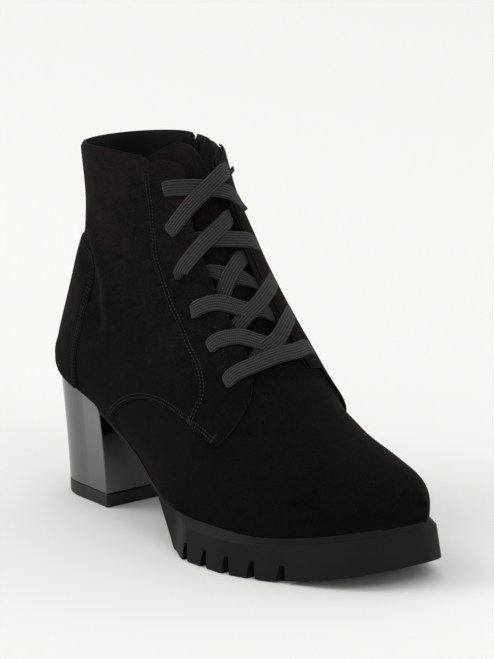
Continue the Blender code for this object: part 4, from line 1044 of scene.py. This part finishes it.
def rimHeight(x):
    # the block's rim stands round the seat; it is open at the breast, where the waist of the sole comes out
    breast = heel["length"] / 2 + heel["breastRake"] - 3 * heel["corner"]
    return float(soleTop(x)) + (float(rimRise(x)) - 0.0002 if x < breast else -sole["seat"] - 0.0003)


for height, inset in ((rimHeight, 0.0), (rimHeight, heel["rim"]), (blockHeights[-1], heel["rim"])):
    blockShares.append(1.0)
    blockHeights.append(height)
    blockInsets.append(inset)
blockForm = heelForm(blockShares, blockHeights, blockInsets)
heelBlock = pieceOf("lacqueredHeelBlock", blockForm, lacquer, outward=True, smooth=35)
onBoot(heelBlock, "heel_lacquer", "heel_block")
capRows = ((0.0, 0.0, 0.0005), (0.0, 0.0005, 0.0), (0.104, 0.0064, 0.0), (0.108, 0.0068, 0.0004))
heelTopPiece = pieceOf(
    "heelTopPiece", heelForm([row[0] for row in capRows], [lambda x, z=row[1]: z for row in capRows],
                             [row[2] for row in capRows]), heelCap, outward=True, smooth=35)
onBoot(heelTopPiece, "sole_rubber", "heel_top_piece")



def turnedEdge():
    # over the heel the leather is turned in under the foot: a strip from its lower edge to the block's rim
    t, s = np.meshgrid(np.linspace(7.0, 12.5, 400), np.linspace(0, 1, 500))
    cloud = lastPoints(t, s)
    cloud = cloud[np.abs(overRim(cloud)) < 0.0003]
    ring = heelRing(1.0, lambda x: 0.0, heel["rim"] / 2)[:, :2]
    run = np.roll(ring[:-1], -1, axis=0) - np.roll(ring[:-1], 1, axis=0)
    out = np.stack([run[:, 1], -run[:, 0]], axis=1) / np.linalg.norm(run, axis=1)[:, None]
    ring, keep = ring[:-1], ring[:-1, 0] < rim["front"] - 0.001
    if (out[keep] @ (-1, 0)).sum() < 0:
        out = -out
    ring, out = ring[keep], out[keep]
    reach = []
    for place, way in zip(ring, out):
        offset = cloud[:, :2] - place
        aside = np.abs(offset @ (way[1], -way[0]))
        near = (offset @ way)[aside < 0.0012]
        reach.append(near.max() if len(near) else np.nan)
    reach = np.array(reach)
    known = ~np.isnan(reach)
    reach = np.interp(np.arange(len(reach)), np.flatnonzero(known), reach[known]) + 0.0004
    outer = ring + out * reach[:, None]
    rings = []
    for flat, lift in ((outer, 0.0), (ring, -0.0002), (ring, 0.0008), (outer, 0.0009), (outer, 0.0)):
        rings.append(np.column_stack([flat, soleTop(flat[:, 0]) + rimRise(flat[:, 0]) + lift]))
    form = ringForm(len(ring), 5, np.array(rings))
    bmesh.ops.holes_fill(form, edges=form.edges)
    return pieceOf("turnedEdge", form, suede, outward=True)


onBoot(turnedEdge(), "suede")

# Zip
print("zip")


def medialPlaces(spots):
    return placeInSide(1, np.array(spots, float))


def zipBand(name, width, inner, outer, low, high, look, count=60):
    # a flat band down the inner side, between two distances out from the last
    heights = np.linspace(low, high, count)
    rings = []
    for share, out in ((-0.5, inner), (0.5, inner), (0.5, outer), (-0.5, outer), (-0.5, inner)):
        t, s = medialPlaces([(zipSizes["place"] + share * width, z) for z in heights])
        rings.append(lastPoints(t, s) + lastNormals(t, s) * out)
    form = ringForm(5, count, np.array(rings).transpose(1, 0, 2))
    bmesh.ops.holes_fill(form, edges=form.edges)
    return pieceOf(name, form, look, outward=True)


tapeBack = -upperSizes["wall"] - 0.0009
tape = zipBand("zipTape", zipSizes["tapeWidth"], tapeBack - zipSizes["tapeThickness"], tapeBack,
               zipSizes["low"] - 0.003, zipSizes["high"] + 0.0035, zipTapeLook)
onBoot(tape, "zip_tape", "zip_chain")
teethForm = bmesh.new()
heights = np.arange(zipSizes["low"] + 0.001, zipSizes["high"] - 0.001, zipSizes["toothPitch"] / 2)
t, s = medialPlaces([(zipSizes["place"] + (0.0007 if k % 2 else -0.0007), z) for k, z in enumerate(heights)])
toothPlaces, toothNormals = lastPoints(t, s), lastNormals(t, s)
for place, normal in zip(toothPlaces, toothNormals):
    up = np.array((0, 0, 1.0)) - normal * normal[2]
    up /= np.linalg.norm(up)
    side = np.cross(up, normal)
    size = zipSizes["tooth"]
    axes = np.stack([side * size[0], normal * size[1], up * size[2]], axis=1)
    centre = place - normal * 0.0014
    matrix = Matrix([[*map(float, row), float(p)] for row, p in zip(axes, centre)] + [[0, 0, 0, 1]])
    bmesh.ops.create_cube(teethForm, size=1, matrix=matrix)
teeth = pieceOf("zipTeeth", teethForm, nickel)
onBoot(teeth, "zip_metal")

# Kept solids
for node, look in (("insole", insoleLook), ("zip_slider", nickel), ("zip_pull", nickel)):
    for place in range(len(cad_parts[node].material_slots)):
        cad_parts[node].material_slots[place].material = look

# Floor, light and camera
print("studio")
studio = {"floorSize": 30.0, "world": 0.84, "key": 76.0, "toe": 22.0}
camera = {"azimuth": 52.89, "elevation": 13.26, "roll": -1.33, "distance": 1.76343, "target": (0.10761, 0.0, 0.10007),
          "focalPixels": 3767.86, "pictureHeight": 659, "sensor": 36.0}

bpy.context.scene.view_settings.view_transform = "Standard"
floorForm = bmesh.new()
bmesh.ops.create_grid(floorForm, x_segments=1, y_segments=1, size=studio["floorSize"] / 2)
floorLook, floorTree, floorShader = newMaterial("paleFloor", Roughness=0.85)
floorShader.inputs["Base Color"].default_value = linear("#f0f0ee")
floor = pieceOf("floor", floorForm, floorLook)

world = bpy.data.worlds.new("studioWorld")
world.use_nodes = True
world.node_tree.nodes["Background"].inputs["Color"].default_value = (1.0, 1.0, 0.99, 1.0)
world.node_tree.nodes["Background"].inputs["Strength"].default_value = studio["world"]
bpy.context.scene.world = world


def softLight(name, place, aim, size, power):
    data = bpy.data.lights.new(name, "AREA")
    data.shape, data.size, data.energy = "DISK", size, power
    light = bpy.data.objects.new(name, data)
    light.location = place
    light.rotation_euler = (Vector(aim) - Vector(place)).to_track_quat("-Z", "Y").to_euler()
    bpy.context.scene.collection.objects.link(light)


softLight("keyLight", (-2.4, -2.6, 4.2), (0.05, 0, 0.1), 3.0, studio["key"])
softLight("toeLight", (3.4, -0.4, 3.2), (0.15, 0, 0.05), 1.6, studio["toe"])

azimuth, elevation, roll = (math.radians(camera[key]) for key in ("azimuth", "elevation", "roll"))
backward = Vector((math.sin(azimuth) * math.cos(elevation), -math.cos(azimuth) * math.cos(elevation),
                   math.sin(elevation)))
level = Vector((math.cos(azimuth), math.sin(azimuth), 0))
upright = backward.cross(level)
right = level * math.cos(roll) + upright * math.sin(roll)
top = upright * math.cos(roll) - level * math.sin(roll)
cameraData = bpy.data.cameras.new("camera")
cameraData.sensor_width = camera["sensor"]
cameraData.lens = camera["focalPixels"] * camera["sensor"] / camera["pictureHeight"]
cameraData.clip_end = 100
cameraObject = bpy.data.objects.new("camera", cameraData)
axes = Matrix((right, top, backward)).transposed().to_4x4()
cameraObject.matrix_world = Matrix.Translation(Vector(camera["target"]) + backward * camera["distance"]) @ axes
bpy.context.scene.collection.objects.link(cameraObject)
bpy.context.scene.camera = cameraObject
